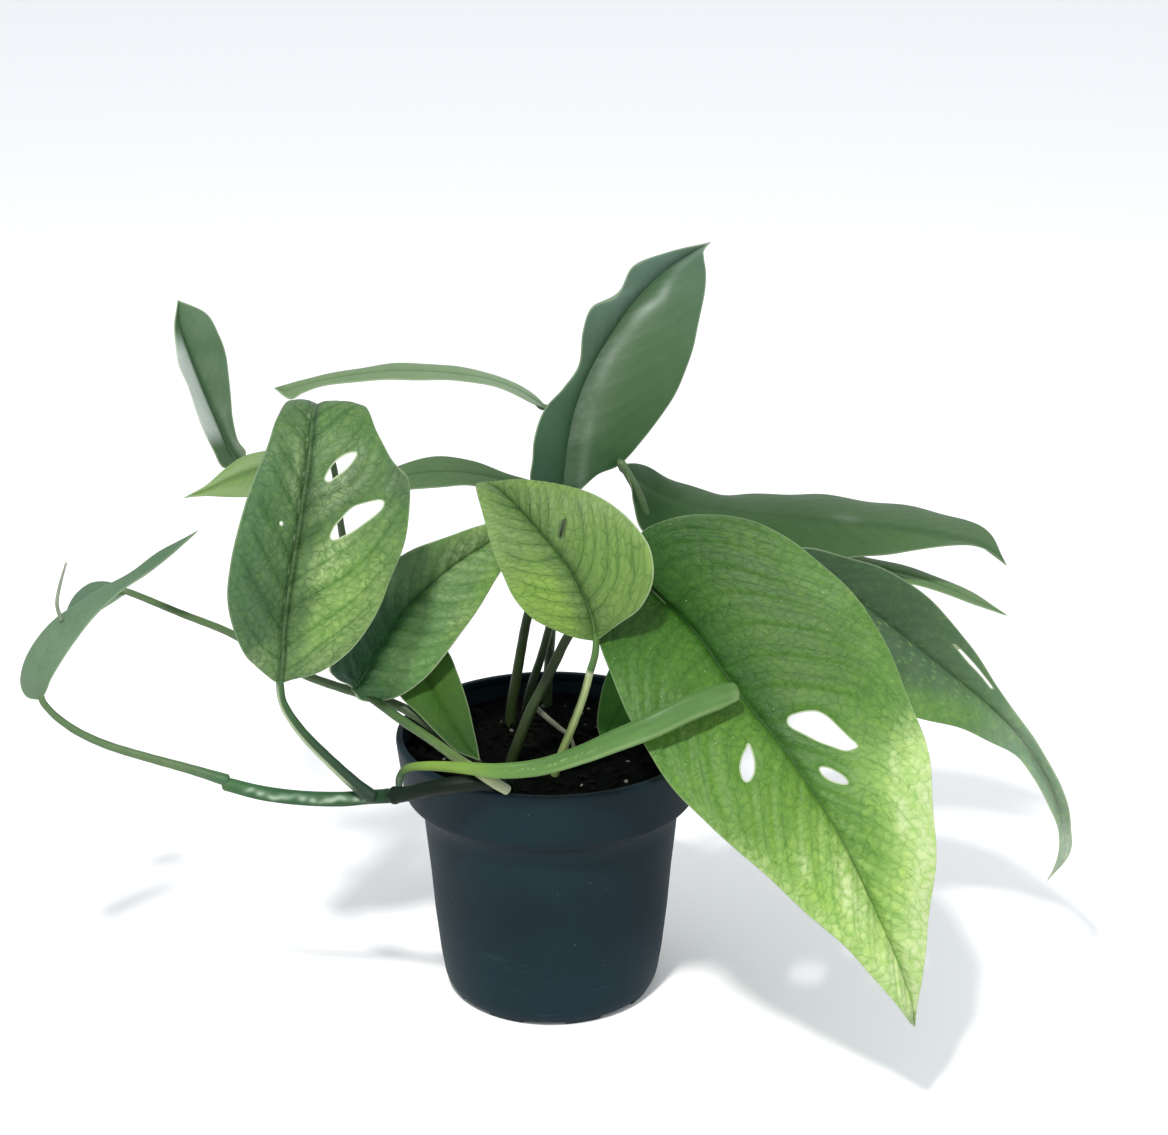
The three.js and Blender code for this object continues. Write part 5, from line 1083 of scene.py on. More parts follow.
def stem_material(name, streak=0.35, gloss=0.36, coat=0.15, mottle=0.3, ridge=0.5, spec=0.4):
    """Stem finish: long streaks, faint ridges, small pale dots, a waxy shine."""
    m = Mat(name)
    along, tone = m.vector("along"), m.colour("tone")
    wide = m.noise(m.scale(along, (0.035, 1.3, 1.3)), 2.0, 4.0)
    lines = m.noise(m.scale(along, (0.02, 3.2, 3.2)), 3.0, 3.0)
    patch = m.noise(m.scale(along, (0.22, 0.6, 0.6)), 1.0, 3.0)
    col = m.mix(m.math("MULTIPLY", m.ramp(wide, 0.38, 0.66), streak), tone, m.mix(1.0, tone, (1.5, 1.38, 1.25), "MULTIPLY"))
    col = m.mix(m.math("MULTIPLY", m.ramp(patch, 0.4, 0.65), mottle), col, m.mix(1.0, col, (0.62, 0.74, 0.70), "MULTIPLY"))
    dots = m.voronoi(m.scale(along, (0.55, 1.6, 1.6)), feature="F1", dims="3D")
    dot = m.math("MULTIPLY", m.ramp(dots["Distance"], 0.10, 0.2, 1.0, 0.0), m.ramp(m.xyz(dots["Color"])[0], 0.5, 0.6))
    col = m.mix(m.math("MULTIPLY", dot, 0.35), col, m.mix(1.0, col, (1.6, 1.5, 1.4), "MULTIPLY"))
    h = m.math("ADD", m.math("MULTIPLY", lines, 0.35 * ridge), m.math("MULTIPLY", wide, 0.2))
    m.set(base=col, rough=m.math("ADD", m.math("MULTIPLY", patch, 0.18), gloss - 0.06),
          normal=m.bump(h, 0.0008, 0.7), spec=spec, coat=coat, coat_rough=0.22)
    return m.mat


def ramp_tone(*stops):
    """Colour along a stem from (place, colour) stops."""
    places = np.array([s[0] for s in stops])
    colours = np.array([s[1] for s in stops])

    def tone(f, s, a, p):
        return np.stack([np.interp(f, places, colours[:, k]) for k in range(3)], 1)
    return tone


# ------------------------------------------------------------------ pot



def lathe(name, profile, material, segments=160, closed=True, attributes=None):
    prof = np.array(profile, float)
    a = np.linspace(0, 2 * math.pi, segments, endpoint=False)
    n = len(prof)
    verts = np.stack([np.outer(prof[:, 0], np.cos(a)), np.outer(prof[:, 0], np.sin(a)),
                      np.repeat(prof[:, 1][:, None], segments, 1)], 2).reshape(-1, 3)
    faces = []
    for i in range(n if closed else n - 1):
        k = (i + 1) % n
        for j in range(segments):
            m = (j + 1) % segments
            faces.append((i * segments + j, k * segments + j, k * segments + m, i * segments + m))
    ob = make_object(name, verts, faces, material, weld=0.001)
    bm = bmesh.new()
    bm.from_mesh(ob.data)
    bmesh.ops.recalc_face_normals(bm, faces=bm.faces)
    bm.to_mesh(ob.data)
    bm.free()
    return ob


def round_corners(profile, radii, steps=5):
    """Replace each listed corner of a closed profile by a small arc."""
    out = []
    n = len(profile)
    for i, p in enumerate(profile):
        r = radii.get(i, 0.0)
        if not r:
            out.append(p)
            continue
        p0, p1, p2 = (np.array(profile[k % n], float) for k in (i - 1, i, i + 1))
        d0, d1 = p0 - p1, p2 - p1
        l0, l1 = np.linalg.norm(d0), np.linalg.norm(d1)
        k = min(r, 0.45 * l0, 0.45 * l1)
        a, b = p1 + d0 / l0 * k, p1 + d1 / l1 * k
        for s in np.linspace(0, 1, steps):
            q = a * (1 - s) ** 2 + p1 * 2 * s * (1 - s) + b * s**2
            out.append(tuple(q))
    return out


def refine(profile, longest):
    out = []
    n = len(profile)
    for i in range(n):
        a, b = np.array(profile[i], float), np.array(profile[(i + 1) % n], float)
        k = max(1, int(np.linalg.norm(b - a) / longest))
        for s in range(k):
            out.append(tuple(a + (b - a) * s / k))
    return out


def cutter(kind, at, size, turn=0.0):
    bm = bmesh.new()
    if kind == "box":
        bmesh.ops.create_cube(bm, size=1.0)
        for v in bm.verts:
            v.co = Vector((v.co.x * size[0], v.co.y * size[1], v.co.z * size[2]))
    else:
        bmesh.ops.create_cone(bm, cap_ends=True, segments=32, radius1=size[0], radius2=size[0], depth=size[2])
    me = bpy.data.meshes.new("cut")
    bm.to_mesh(me)
    bm.free()
    ob = bpy.data.objects.new("cut", me)
    ob.location = Vector(at) * MM
    ob.scale = (MM, MM, MM)
    ob.rotation_euler = (0, 0, turn)
    scene.collection.objects.link(ob)
    return ob


def pot_material():
    """Matte injection-moulded plastic: fine grain, faint turning lines, pale scuffs low down and dust, with painted
    shade along the ledge under the collar and painted light on the body below it.
    """
    m = Mat("pot_plastic")
    pos = m.object_coords()
    z = m.xyz(pos)[2]
    grain = m.noise(pos, 900.0, 3.0, 0.6)
    cloud = m.noise(pos, 22.0, 4.0, 0.6)
    rings = m.noise(m.scale(pos, (14.0, 14.0, 900.0)), 1.0, 2.0)
    scr = m.noise(m.scale(pos, (60.0, 60.0, 700.0)), 1.0, 3.0, 0.7, 0.6)
    low = m.ramp(z, 0.004, 0.055, 1.0, 0.0)
    col = m.mix(m.ramp(cloud, 0.3, 0.7), srgb(*POT_A), srgb(*POT_B))
    col = m.mix(m.math("MULTIPLY", low, 0.55), col, srgb(*POT_LOW))
    col = m.mix(m.math("MULTIPLY", m.ramp(scr, 0.60, 0.72), m.math("ADD", m.math("MULTIPLY", low, 0.4), 0.04)), col, srgb(44, 62, 70))
    # painted shade: a darker band along the ledge under the collar, which catches light from the floor
    ledge_painted_shade = m.math("MULTIPLY", m.ramp(z, 0.0790, 0.0825), m.ramp(z, 0.0850, 0.0880, 1.0, 0.0))
    col = m.mix(m.math("MULTIPLY", ledge_painted_shade, 0.38), col, m.mix(1.0, col, (0.30, 0.38, 0.40), "MULTIPLY"))
    # painted light: a lighter band on the body under the collar, where the collar's shade falls
    waist_painted_light = m.math("MULTIPLY", m.ramp(z, 0.048, 0.070), m.ramp(z, 0.0755, 0.0800, 1.0, 0.0))
    col = m.mix(waist_painted_light, col, m.mix(1.0, col, (1.25, 1.22, 1.2), "MULTIPLY"))
    specks = m.voronoi(pos, feature="F1", dims="3D", scale=260.0, randomness=1.0)
    dust = m.math("MULTIPLY", m.ramp(specks["Distance"], 0.06, 0.13, 1.0, 0.0), m.ramp(m.xyz(specks["Color"])[2], 0.88, 0.94))
    col = m.mix(m.math("MULTIPLY", dust, 0.45), col, srgb(84, 90, 90))
    h = m.math("ADD", m.math("MULTIPLY", grain, 0.5), m.math("MULTIPLY", rings, 0.35))
    m.set(base=col, rough=m.math("ADD", m.math("MULTIPLY", cloud, 0.16), 0.5), normal=m.bump(h, 0.00022, 0.5), spec=0.10)
    return m.mat


POT_PROFILE = [
    (9.0, 0.0), (9.6, 2.2), (36.2, 2.2), (36.5, 0.0), (39.5, 0.0), (42.3, 5.0), (44.1, 16.5), (46.0, 34.0),
    (47.4, 51.5), (48.9, 66.0), (49.6, 73.5), (50.9, 78.3), (53.2, 81.6), (57.2, 84.4), (60.0, 105.9), (59.6, 107.3),
    (57.2, 107.3), (57.2, 104.9), (58.3, 103.4), (55.7, 85.9), (52.3, 83.1), (49.6, 79.3), (48.1, 74.0),
    (47.4, 66.1), (45.9, 51.5), (44.5, 34.0), (42.6, 17.0), (40.5, 3.8), (0.0, 3.8), (0.0, 0.0),
]


def make_pot():
    prof = round_corners(POT_PROFILE, {0: 0.4, 3: 0.4, 4: 0.8, 5: 3.2, 10: 3.5, 11: 3.5, 12: 3.5, 13: 3.5, 14: 0.7, 15: 0.6,
                                       16: 0.5, 19: 2.0, 20: 2.0, 21: 2.0, 27: 2.0})
    prof = refine(prof, 3.0)
    ob = lathe("pot_shell", prof, pot_material(), 144)
    cuts = []
    for k in range(8):
        a = math.radians(-94.3) + k * math.pi / 4
        cuts.append(cutter("box", (38 * math.cos(a), 38 * math.sin(a), 0.0), (14.0, 17.0, 4.0), a))
        b = a + math.pi / 8
        cuts.append(cutter("rod", (29 * math.cos(b), 29 * math.sin(b), 2.5), (4.0, 4.0, 8.0)))
    for c in cuts:
        mod = ob.modifiers.new("cut", "BOOLEAN")
        mod.operation = "DIFFERENCE"
        mod.solver = "EXACT"
        mod.object = c
    deps = bpy.context.evaluated_depsgraph_get()
    deps.update()
    me = bpy.data.meshes.new_from_object(ob.evaluated_get(deps))
    ob.modifiers.clear()
    ob.data = me
    for c in cuts:
        bpy.data.objects.remove(c)
    for poly in me.polygons:
        poly.use_smooth = True
    bm = bmesh.new()
    bm.from_mesh(me)
    for e in bm.edges:
        if len(e.link_faces) == 2 and e.calc_face_angle(0.0) > math.radians(38):
            e.smooth = False
    bm.to_mesh(me)
    bm.free()
    return ob


# ------------------------------------------------------------------ growing medium
def soil_height(x, y):
    r = np.hypot(x, y)
    z = np.interp(r, [0, 20, 38, 50, 57.5], [101.2, 101.0, 100.2, 98.9, 97.9])
    z = z + 0.8 * np.sin(x * 0.19 + 1.3) * np.sin(y * 0.23 + 0.4) + 0.5 * np.sin(x * 0.47 + y * 0.31)
    z = z + 0.35 * np.sin(x * 1.1 + 2 * np.sin(y * 0.7)) * np.sin(y * 1.3 + 1.7 * np.sin(x * 0.6))
    return z


def grit(rng, size, rough):
    """One rough grain: a small faceted lump."""
    bm = bmesh.new()
    bmesh.ops.create_icosphere(bm, subdivisions=2, radius=1.0)
    off = np.array([rng.uniform(0, 50) for _ in range(3)])
    pts = []
    for v in bm.verts:
        d = np.array(v.co)
        k = 1 + rough * (math.sin(3.1 * d[0] + off[0]) * math.sin(2.7 * d[1] + off[1]) + 0.5 * math.sin(5.3 * d[2] + off[2]) * math.sin(4.9 * d[0] + off[1]))
        pts.append(d * k * size)
    faces = [[v.index for v in f.verts] for f in bm.faces]
    bm.free()
    return np.array(pts), faces


def scatter(name, material, rng, count, sizes, rough, sink, keep=lambda x, y: True, radius=55.0, shade=None):
    verts, faces, tint = [], [], []
    base = 0
    done = 0
    while done < count:
        a, r = rng.uniform(0, 2 * math.pi), radius * math.sqrt(rng.uniform(0, 1))
        x, y = r * math.cos(a), r * math.sin(a)
        if not keep(x, y):
            continue
        done += 1
        s = [rng.uniform(*sizes[k]) for k in range(3)]
        pts, fs = grit(rng, np.array(s), rough)
        turn, lean, roll = rng.uniform(0, 2 * math.pi), rng.uniform(-0.5, 0.5), rng.uniform(-0.5, 0.5)
        ca, sa, cl, sl, cr_, sr = math.cos(turn), math.sin(turn), math.cos(lean), math.sin(lean), math.cos(roll), math.sin(roll)
        rot = np.array([[ca, -sa, 0], [sa, ca, 0], [0, 0, 1]]) @ np.array([[cl, 0, sl], [0, 1, 0], [-sl, 0, cl]]) @ np.array([[1, 0, 0], [0, cr_, -sr], [0, sr, cr_]])
        pts = pts @ rot.T + np.array([x, y, float(soil_height(np.array(x), np.array(y))) + s[2] * sink])
        verts.append(pts)
        faces += [[i + base for i in f] for f in fs]
        base += len(pts)
        tint.append(np.full(len(pts), rng.uniform(0, 1)))
    return make_object(name, np.concatenate(verts), faces, material, [("shade", "FLOAT", np.concatenate(tint))])


def soil_material():
    m = Mat("soil_peat_painted_shade")
    pos = m.object_coords()
    a = m.noise(pos, 260.0, 5.0, 0.7)
    b = m.noise(pos, 900.0, 3.0, 0.7)
    # near-black: the peat's own dark colour, darkened further as painted shade of the pot's inside
    col = m.mix(m.ramp(a, 0.35, 0.68), srgb(2, 3, 2), srgb(7, 9, 7))
    col = m.mix(m.math("MULTIPLY", m.ramp(b, 0.60, 0.74), 0.3), col, srgb(17, 18, 14))
    h = m.math("ADD", m.math("MULTIPLY", a, 0.7), m.math("MULTIPLY", b, 0.35))
    m.set(base=col, rough=1.0, normal=m.bump(h, 0.0022, 1.0), spec=0.03)
    return m.mat


def bark_material():
    m = Mat("bark_chip_painted_shade")
    pos = m.object_coords()
    a = m.noise(m.scale(pos, (1.0, 1.0, 2.2)), 420.0, 4.0, 0.6)
    s = m.value("shade")
    # near-black: the bark's own dark colour, darkened further as painted shade of the pot's inside
    col = m.mix(s, srgb(3, 5, 4), srgb(13, 14, 10))
    col = m.mix(m.math("MULTIPLY", m.ramp(a, 0.4, 0.66), 0.6), col, srgb(5, 5, 4))
    m.set(base=col, rough=0.95, normal=m.bump(a, 0.0014, 0.9), spec=0.04)
    return m.mat


def perlite_material():
    m = Mat("perlite_grain")
    pos = m.object_coords()
    a = m.noise(pos, 1300.0, 3.0, 0.6)
    col = m.mix(m.ramp(a, 0.35, 0.7), srgb(84, 86, 82), srgb(132, 134, 128))
    col = m.mix(m.math("MULTIPLY", m.value("shade"), 0.6), col, srgb(44, 42, 36))
    m.set(base=col, rough=0.9, normal=m.bump(a, 0.0007, 0.8), spec=0.3)
    return m.mat


def make_soil():
    seg, rings = 168, 52
    rr = np.concatenate([[0.0], np.linspace(1.2, 57.2, rings)])
    a = np.linspace(0, 2 * math.pi, seg, endpoint=False)
    verts = [(0.0, 0.0, float(soil_height(np.array(0.0), np.array(0.0))))]
    for r in rr[1:]:
        x, y = r * np.cos(a), r * np.sin(a)
        z = soil_height(x, y)
        verts += list(zip(x, y, z))
    faces = [(0, 1 + j, 1 + (j + 1) % seg) for j in range(seg)]
    for i in range(rings - 1):
        for j in range(seg):
            k = (j + 1) % seg
            faces.append((1 + i * seg + j, 1 + (i + 1) * seg + j, 1 + (i + 1) * seg + k, 1 + i * seg + k))
    # the root ball below the surface follows the inside of the pot
    wall = [(57.0, 96.0), (55.2, 86.2), (51.95, 83.5), (49.15, 79.5), (47.7, 74.1), (47.0, 66.3), (45.5, 51.5), (44.0, 34.0), (42.1, 17.0), (40.0, 4.4)]
    first = 1 + (rings - 1) * seg
    for r, z in wall:
        start = len(verts)
        verts += [(r * math.cos(t), r * math.sin(t), z) for t in a]
        for j in range(seg):
            k = (j + 1) % seg
            faces.append((first + j, start + j, start + k, first + k))
        first = start
    verts.append((0.0, 0.0, 4.4))
    for j in range(seg):
        faces.append((first + j, len(verts) - 1, first + (j + 1) % seg))
    return make_object("soil_top", np.array(verts), faces, soil_material())


# ------------------------------------------------------------------ assembly
def stands_for(ob, node):
    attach(ob, "root")
    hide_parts(node)


def added(ob):
    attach(ob, "root")


SPACE = 9.5
crisp = leaf_material("blade_crisp", 13.5, vein=0.58, fine=0.14, raised_light=0.16, side=0.30, band=0.34, mid_mix=0.62, blotch=0.5, mottle=0.55, painted_sparkle=0.8, gloss=0.5, relief=0.55, spec=0.2)
fresh = leaf_material("blade_fresh", 6.5, vein=0.66, fine=0.16, raised_light=0.16, side=0.75, band=0.42, mid_mix=0.72, mottle=0.3, gloss=0.52, relief=0.8)
soft_f = leaf_material("blade_banded", 12.5, vein=0.64, fine=0.16, raised_light=0.20, side=0.40, band=0.75, mid_mix=0.0, blotch=0.5, mottle=0.5, gloss=0.5, relief=0.7, blush=(1.5, 1.34, 1.0))
soft_l = leaf_material("blade_folded", 8.0, vein=0.42, fine=0.12, raised_light=0.20, side=0.40, band=0.5, mid_mix=0.45, mottle=0.4, gloss=0.5, relief=0.7, blush=(1.5, 1.34, 1.05))
calm = leaf_material("blade_calm", SPACE, vein=0.07, fine=0.0, raised_light=0.04, side=0.06, band=0.12, mid_mix=0.0, blotch=0.3, mottle=0.10, gloss=0.42, spec=0.11, relief=0.12)
calm_b = leaf_material("blade_calm_flecked", SPACE, vein=0.16, fine=0.05, raised_light=0.08, side=0.10, band=0.18, mid_mix=0.0, blotch=0.3, mottle=0.45, gloss=0.44, spec=0.14, relief=0.3, blush=(1.5, 1.34, 1.0))
calm_small = leaf_material("blade_calm_small", 6.0, vein=0.08, fine=0.0, raised_light=0.04, side=0.08, band=0.14, mid_mix=0.35, blotch=0.25, mottle=0.12, gloss=0.46, spec=0.2, relief=0.15)
dull = leaf_material("blade_dull", 6.0, vein=0.12, fine=0.0, raised_light=0.04, side=0.10, band=0.10, mid_mix=0.12, blotch=0.5, mottle=0.3, gloss=0.62, spec=0.1, relief=0.3, blush=(1.5, 1.3, 1.0))

FAR = dict(mat=calm_small, space=6.0, pucker=0.0, quilt=0.05, roll=0.2, net=(3.0, 2.2), cell=0.9)
BLADES = {
    "a": dict(mat=crisp, cell=1.0, seed=1.3, tone=tone_a, edge=edge_a, space=13.5, pucker=0.06, quilt=0.6, roll=0.7, wave=31.0, net=(4.3, 3.1), slant=0.8),
    "d": dict(mat=fresh, cell=0.75, seed=2.6, tone=tone_d, edge=edge_d, space=6.5, pucker=0.06, quilt=0.35, roll=0.3, net=(4.6, 2.1), slant=0.75, groove=0.7, slit=0.42, lean=(0.55, 0.95), curl=0.4),
    "f": dict(mat=soft_f, cell=0.85, seed=4.1, tone=tone_f, edge=edge_f, pinhole=0.6, space=12.5, pucker=0.06, quilt=0.5, roll=0.4, net=(3.8, 2.8), slant=0.9, lean=(0.8, 1.15), curl=0.4),
    "l": dict(mat=soft_l, cell=0.85, seed=5.7, tone=tone_l, edge=edge_l, space=8.0, pucker=0.06, quilt=0.45, roll=0.4, net=(3.8, 2.8), slant=0.8, lean=(0.4, 1.0), curl=0.5),
    "e": dict(mat=calm, cell=1.0, seed=6.2, tone=tone_e, space=SPACE, pucker=0.0, quilt=0.06, roll=0.4, net=(4.2, 3.0), groove=0.08),
    "c": dict(mat=calm, cell=1.0, seed=7.9, tone=tone_c, space=SPACE, pucker=0.0, quilt=0.06, roll=0.5, net=(4.2, 3.0), groove=0.2),
    "b": dict(mat=calm_b, cell=1.0, seed=8.4, tone=tone_b, edge=edge_b, space=SPACE, pucker=0.0, quilt=0.2, roll=0.4, net=(4.2, 3.0), groove=0.15, slit=0.5),
    "c2": dict(FAR, seed=9.1, tone=plain_tone(srgb(120, 168, 96), srgb(122, 156, 104))),
    "g": dict(FAR, seed=10.3, tone=tone_g),
    "h": dict(FAR, seed=11.8, tone=plain_tone(srgb(90, 120, 82), srgb(98, 132, 86))),
    "i": dict(FAR, cell=0.8, seed=12.4, tone=tone_i),
    "j": dict(FAR, cell=0.8, seed=13.7, tone=plain_tone(srgb(124, 160, 86), srgb(136, 170, 98))),
    "k": dict(FAR, mat=calm, space=SPACE, groove=0.1, cell=0.85, seed=14.2, tone=plain_tone(srgb(124, 154, 122), srgb(106, 136, 108))),
    "k2": dict(FAR, cell=0.8, seed=15.5, tone=plain_tone(srgb(104, 136, 108), srgb(104, 136, 108))),
    "n": dict(FAR, mat=dull, cell=0.85, seed=16.9, tone=plain_tone(srgb(78, 124, 44), srgb(62, 102, 40))),
    "p": dict(FAR, mat=dull, cell=0.85, seed=17.3, tone=plain_tone(srgb(86, 152, 62), srgb(76, 134, 56))),
}
sheets = {}
for key, look in BLADES.items():
    ob, sheets[key] = make_blade("blade_" + key, LEAVES["leaf_" + key], look, look["mat"])
    stands_for(ob, "leaf_" + key)

stalk_mat = stem_material("petiole_skin", gloss=0.42, coat=0.04, spec=0.25)
vine_mat = stem_material("vine_skin", streak=0.4, gloss=0.46, coat=0.0, mottle=0.3, ridge=0.7, spec=0.12)
new_mat = stem_material("new_leaf_skin", streak=0.25, gloss=0.46, coat=0.0, mottle=0.12, ridge=0.3, spec=0.3)
dry_mat = stem_material("dry_skin", streak=0.4, gloss=0.7, coat=0.0, mottle=0.5, ridge=1.4)

OLIVE = srgb(132, 152, 96)
STALK = srgb(104, 134, 88)
STALK_DARK = srgb(56, 76, 46)
OLIVE_DARK = srgb(48, 62, 28)
SHEATH = srgb(188, 196, 160)
VINE = srgb(34, 70, 49)



def stalk_d(f, s, a, p):
    """Pale olive up to the sheath's end, green above it, with a darker line down the right."""
    places = [0, 12, 57.5, 59.0, 60.5, 73, 80, 90]
    cols = np.array([srgb(*c) for c in ((64, 92, 50), (176, 204, 120), (224, 242, 174), (232, 244, 200), (100, 142, 74), (94, 136, 64), (94, 134, 66), (98, 134, 74))])
    col = np.stack([np.interp(s, places, cols[:, k]) for k in range(3)], 1)
    side = smooth(0.2, 0.9, np.sin(a)) * smooth(10, 30, s) * (1 - smooth(56, 60, s))
    return mixc(col, srgb(84, 104, 58), side * 0.75)


def stalk_f(f, s, a, p):
    """Dark glossy green at the foot, a pale sheath along the left with a painted highlight along it, lighter green near
    the blade.
    """
    places = [0, 6, 24, 40, 52, 62, 74]
    cols = np.array([srgb(*c) for c in ((34, 62, 40), (36, 66, 42), (46, 80, 50), (58, 94, 56), (66, 106, 60), (84, 124, 74), (84, 116, 76))])
    col = np.stack([np.interp(s, places, cols[:, k]) for k in range(3)], 1)
    # the pale sheath along the left: the sheath's own pale colour with a painted highlight along it
    sheath = smooth(0.25, 0.65, np.cos(a - 1.8)) * smooth(5, 14, s) * (1 - smooth(50, 60, s))
    return mixc(col, srgb(214, 232, 188), sheath * 0.85)


STALKS = {
    "a": ramp_tone((0, OLIVE_DARK), (0.45, srgb(60, 82, 42)), (1, STALK)),
    "b": ramp_tone((0, OLIVE_DARK), (0.4, srgb(60, 82, 42)), (1, STALK)),
    "c": ramp_tone((0, OLIVE_DARK), (0.4, srgb(60, 82, 42)), (1, STALK)),
    "c2": ramp_tone((0, STALK_DARK), (1, STALK)),
    "d": stalk_d,
    "e": ramp_tone((0, OLIVE_DARK), (0.4, srgb(58, 80, 42)), (1, STALK)),
    "f": stalk_f,
    "g": ramp_tone((0, STALK_DARK), (1, STALK)),
    "h": ramp_tone((0, STALK_DARK), (1, STALK)),
    "i": ramp_tone((0, STALK_DARK), (1, STALK)),
    "j": ramp_tone((0, STALK_DARK), (1, STALK)),
    "k": ramp_tone((0, srgb(76, 120, 78)), (0.2, STALK), (1, STALK)),
    "l": ramp_tone((0, SHEATH), (0.10, srgb(176, 190, 136)), (0.2, srgb(118, 146, 80)), (0.42, srgb(108, 140, 78)), (0.6, srgb(84, 120, 66)), (1, srgb(46, 86, 48))),
    "n": ramp_tone((0, STALK_DARK), (1, STALK)),
    "p": ramp_tone((0, STALK_DARK), (1, STALK_DARK)),
}


def runs_into(key, spec):
    """The stalk goes on as the rib under the blade and thins out along it."""
    sheet = sheets[key]
    path, r = [list(p) for p in spec["path"]], list(spec["r"])
    tip = r[-1]
    for run, k in ((2.5, 0.92), (6.0, 0.72), (11.0, 0.5), (17.0, 0.3)):
        u = np.interp(run, sheet.arc, sheet.fine)
        uv = np.array([u])
        mid = cr(sheet.mid, uv)[0]
        e = 0.02
        a = sheet.at(uv, np.array([e]))[0][0]
        b = sheet.at(uv, np.array([-e]))[0][0]
        t = cr(sheet.mid, uv + 0.05)[0] - cr(sheet.mid, np.maximum(uv - 0.05, 0))[0]
        n = np.cross(t, a - b)
        n = n / (np.linalg.norm(n) + 1e-9) * sheet.side
        depth = 0.45 + 0.62 * tip * k
        path.append(list(mid - n * depth))
        r.append(tip * k)
    return path, r


def stalk_shape(ss, length, aa):
    """A shallow channel along the stalk and a slight swelling at its foot."""
    k = 1.0 - 0.10 * np.exp(-((np.abs(((aa - 1.2 + math.pi) % (2 * math.pi)) - math.pi)) / 0.45) ** 2)
    return k * (1.0 + 0.10 * np.exp(-ss / 4.0)) * (1 + 0.015 * np.sin(ss * 0.9 + aa * 2))


for key, tone in STALKS.items():
    spec = TUBES["petiole_" + key]
    path, r = runs_into(key, spec)
    ob = make_stem("stalk_" + key, path, r, stalk_mat, tone, sides=18, step=0.9, shape=stalk_shape)
    stands_for(ob, "petiole_" + key)

path, r = runs_into("k2", TUBES["stem_k2"])
ob = make_stem("stalk_k2", path, r, stalk_mat, ramp_tone((0, STALK_DARK), (0.5, STALK), (1, STALK)), sides=18, step=0.9, shape=stalk_shape)
stands_for(ob, "stem_k2")


def vine_shape(ss, length, aa):
    """Node rings and slight swellings between them."""
    k = 1.0 + 0 * ss
    for place in (24.0, 67.5):
        k = k + 0.16 * np.exp(-((ss - place) / 1.1) ** 2) + 0.07 * np.exp(-((ss - place) / 4.0) ** 2)
        k = k - 0.07 * np.exp(-((ss - place - 2.0) / 0.7) ** 2)
    return k * (1 + 0.02 * np.sin(aa * 5 + ss * 0.12))


def vine_tone(f, s, a, p):
    """Very dark over the pot's rim, lighter green beyond the node, with a painted highlight streaked along the front.
    """
    places = [0, 14, 50, 64, 67.5, 71, 84, 104, 126, 134]
    cols = np.array([srgb(*c) for c in ((46, 70, 42), (14, 34, 22), (10, 30, 18), (16, 40, 26), (12, 34, 22), (34, 72, 44), (56, 100, 62),
                                        (62, 108, 70), (70, 116, 74), (84, 124, 78))])
    col = np.stack([np.interp(s, places, cols[:, k]) for k in range(3)], 1)
    # a painted highlight: broken pale streaks along the front of the stem
    run = 0.5 + 0.5 * np.sin(s * 0.9 + 2.0 * np.sin(s * 0.31) + 1.5 * np.sin(a * 2.0))
    drift = 3.45 + 0.22 * np.sin(s * 0.37) + 0.10 * np.sin(s * 1.13 + 0.6)
    painted_sheen = np.exp(-((a - drift) / 0.36) ** 2) * smooth(74, 82, s) * (1 - smooth(122, 130, s)) * (0.3 + 0.7 * run)
    return mixc(col, srgb(196, 220, 196), painted_sheen * 0.8)


ob = make_stem("vine_stem", TUBES["vine"]["path"], TUBES["vine"]["r"], vine_mat,
               vine_tone, sides=32, step=0.6, shape=vine_shape)
stands_for(ob, "vine")


def young_shape(ss, length, aa):
    """The rolled blade: its outer margin shows as a low step along the roll."""
    d = ((aa - 2.2 + math.pi) % (2 * math.pi)) - math.pi
    step = 0.10 * smooth(-0.12, 0.05, d) * (1 - smooth(0.05, 1.1, d))
    return 1.0 + step - 0.05 * np.exp(-((d + 0.15) / 0.12) ** 2)


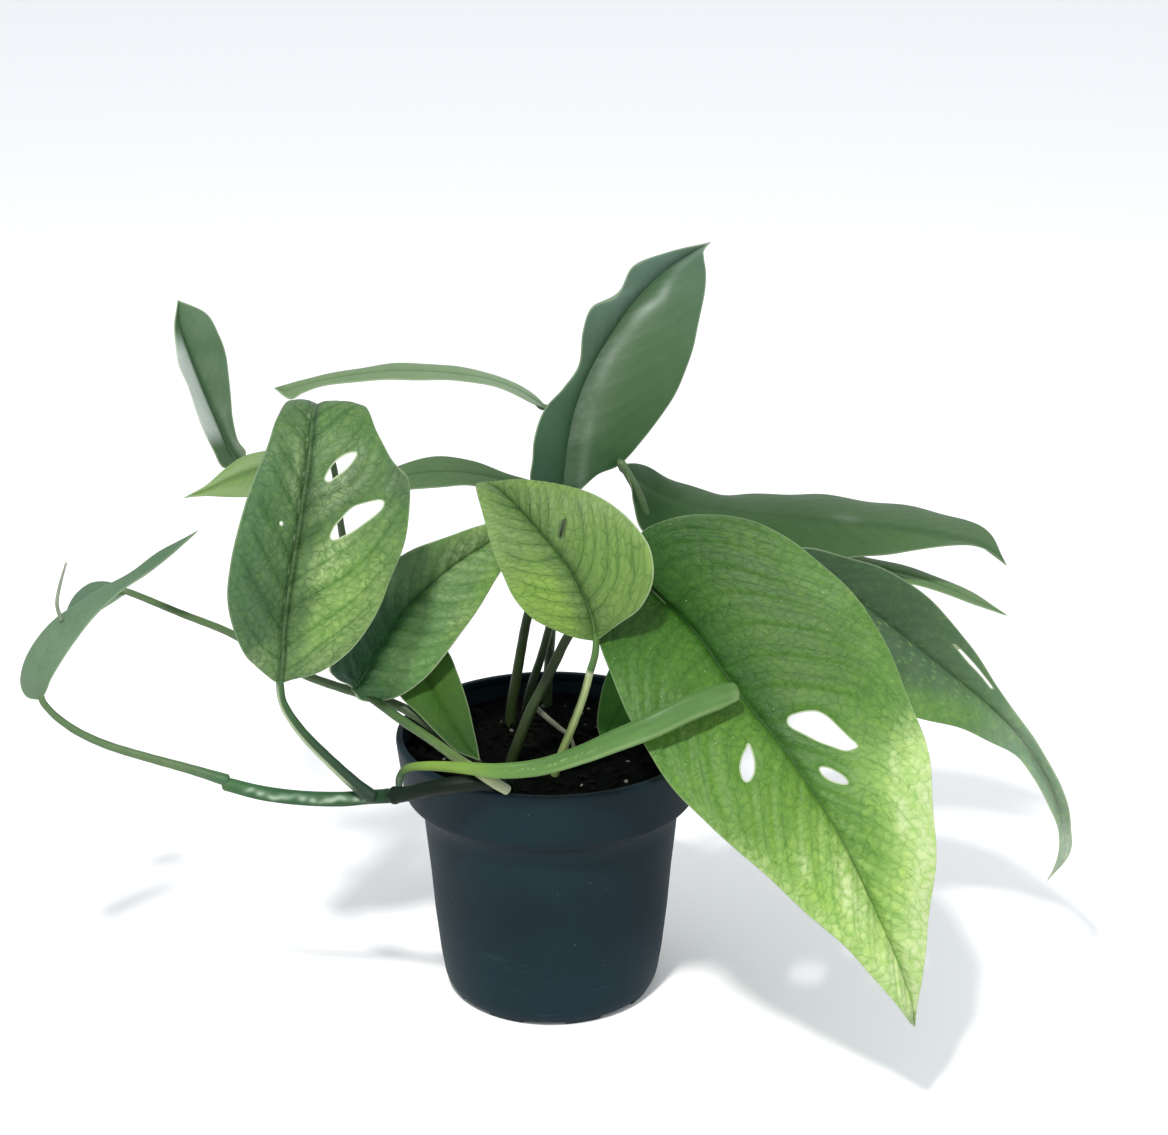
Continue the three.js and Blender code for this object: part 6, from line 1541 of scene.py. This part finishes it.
def young_tone(f, s, a, p):
    """Dark at the foot, bright yellow-green where it is thin, then fresh green with a darker back and a pale rim."""
    places = [0, 5, 9, 18, 34, 52, 90, 125, 140, 144]
    cols = np.array([srgb(*c) for c in ((38, 72, 46), (60, 92, 50), (112, 146, 66), (146, 184, 72), (136, 176, 72), (108, 154, 70),
                                        (104, 150, 74), (102, 148, 78), (112, 156, 88), (150, 182, 120))])
    col = np.stack([np.interp(s, places, cols[:, k]) for k in range(3)], 1)
    col = mixc(col, srgb(78, 122, 56), smooth(0.1, 0.9, np.sin(a)) * smooth(40, 70, s) * 0.6)
    col = mixc(col, srgb(84, 130, 54), smooth(100, 122, s) * 0.4)
    col = mixc(col, srgb(176, 208, 140), np.exp(-((a - 3.95) / 0.18) ** 2) * smooth(60, 80, s) * 0.45)
    # painted glints of light: broken pale streaks along the front of the roll
    patch = 0.5 + 0.5 * np.sin(1.7 * s + 2.4 * np.sin(0.61 * s + 1.0) + 2.0 * np.sin(a * 2.3))
    painted_glints = np.exp(-((a - 2.72 - 0.16 * np.sin(s * 0.83)) / 0.17) ** 2) * smooth(47, 54, s) * (1 - smooth(74, 96, s)) * smooth(0.45, 0.9, patch)
    return mixc(col, srgb(196, 230, 168), painted_glints * 0.42)


blunt = TUBES["young_leaf"]["r"][:-2] + [4.7, 3.6]
ob = make_stem("young_roll", TUBES["young_leaf"]["path"], blunt, new_mat, young_tone,
               sides=40, step=0.7, flat=TUBES["young_leaf"]["flat"], shape=young_shape)
stands_for(ob, "young_leaf")

ob = make_stem("root_pale", TUBES["aerial_root"]["path"], TUBES["aerial_root"]["r"], dry_mat,
               ramp_tone((0, srgb(176, 180, 160)), (1, srgb(150, 146, 124))), sides=14, step=0.6)
stands_for(ob, "aerial_root")
# the dried tip's pale colour is partly its own and partly painted light, lifted against the shade it stands in
ob = make_stem("tip_dry", TUBES["dried_tip"]["path"], TUBES["dried_tip"]["r"], dry_mat,
               ramp_tone((0, srgb(160, 176, 146)), (1, srgb(176, 184, 166))), sides=12, step=0.6)
stands_for(ob, "dried_tip")

stands_for(make_pot(), "pot")
stands_for(make_soil(), "growing_medium")
rng = random.Random(7)
added(scatter("bark_bits", bark_material(), rng, 210, ((1.2, 4.2), (0.9, 2.4), (0.5, 1.3)), 0.22, 0.35))
added(scatter("perlite_bits", perlite_material(), rng, 30, ((0.4, 1.0), (0.4, 0.9), (0.3, 0.8)), 0.18, 0.35))

# ------------------------------------------------------------------ floor
me = bpy.data.meshes.new("floor")
me.from_pydata([(-60, -60, 0), (60, -60, 0), (60, 60, 0), (-60, 60, 0)], [], [(0, 1, 2, 3)])
floor = bpy.data.objects.new("floor", me)
scene.collection.objects.link(floor)
fm = Mat("floor_plain")
fm.set(base=(0.92, 0.92, 0.92), rough=0.95, spec=0.05)
me.materials.append(fm.mat)
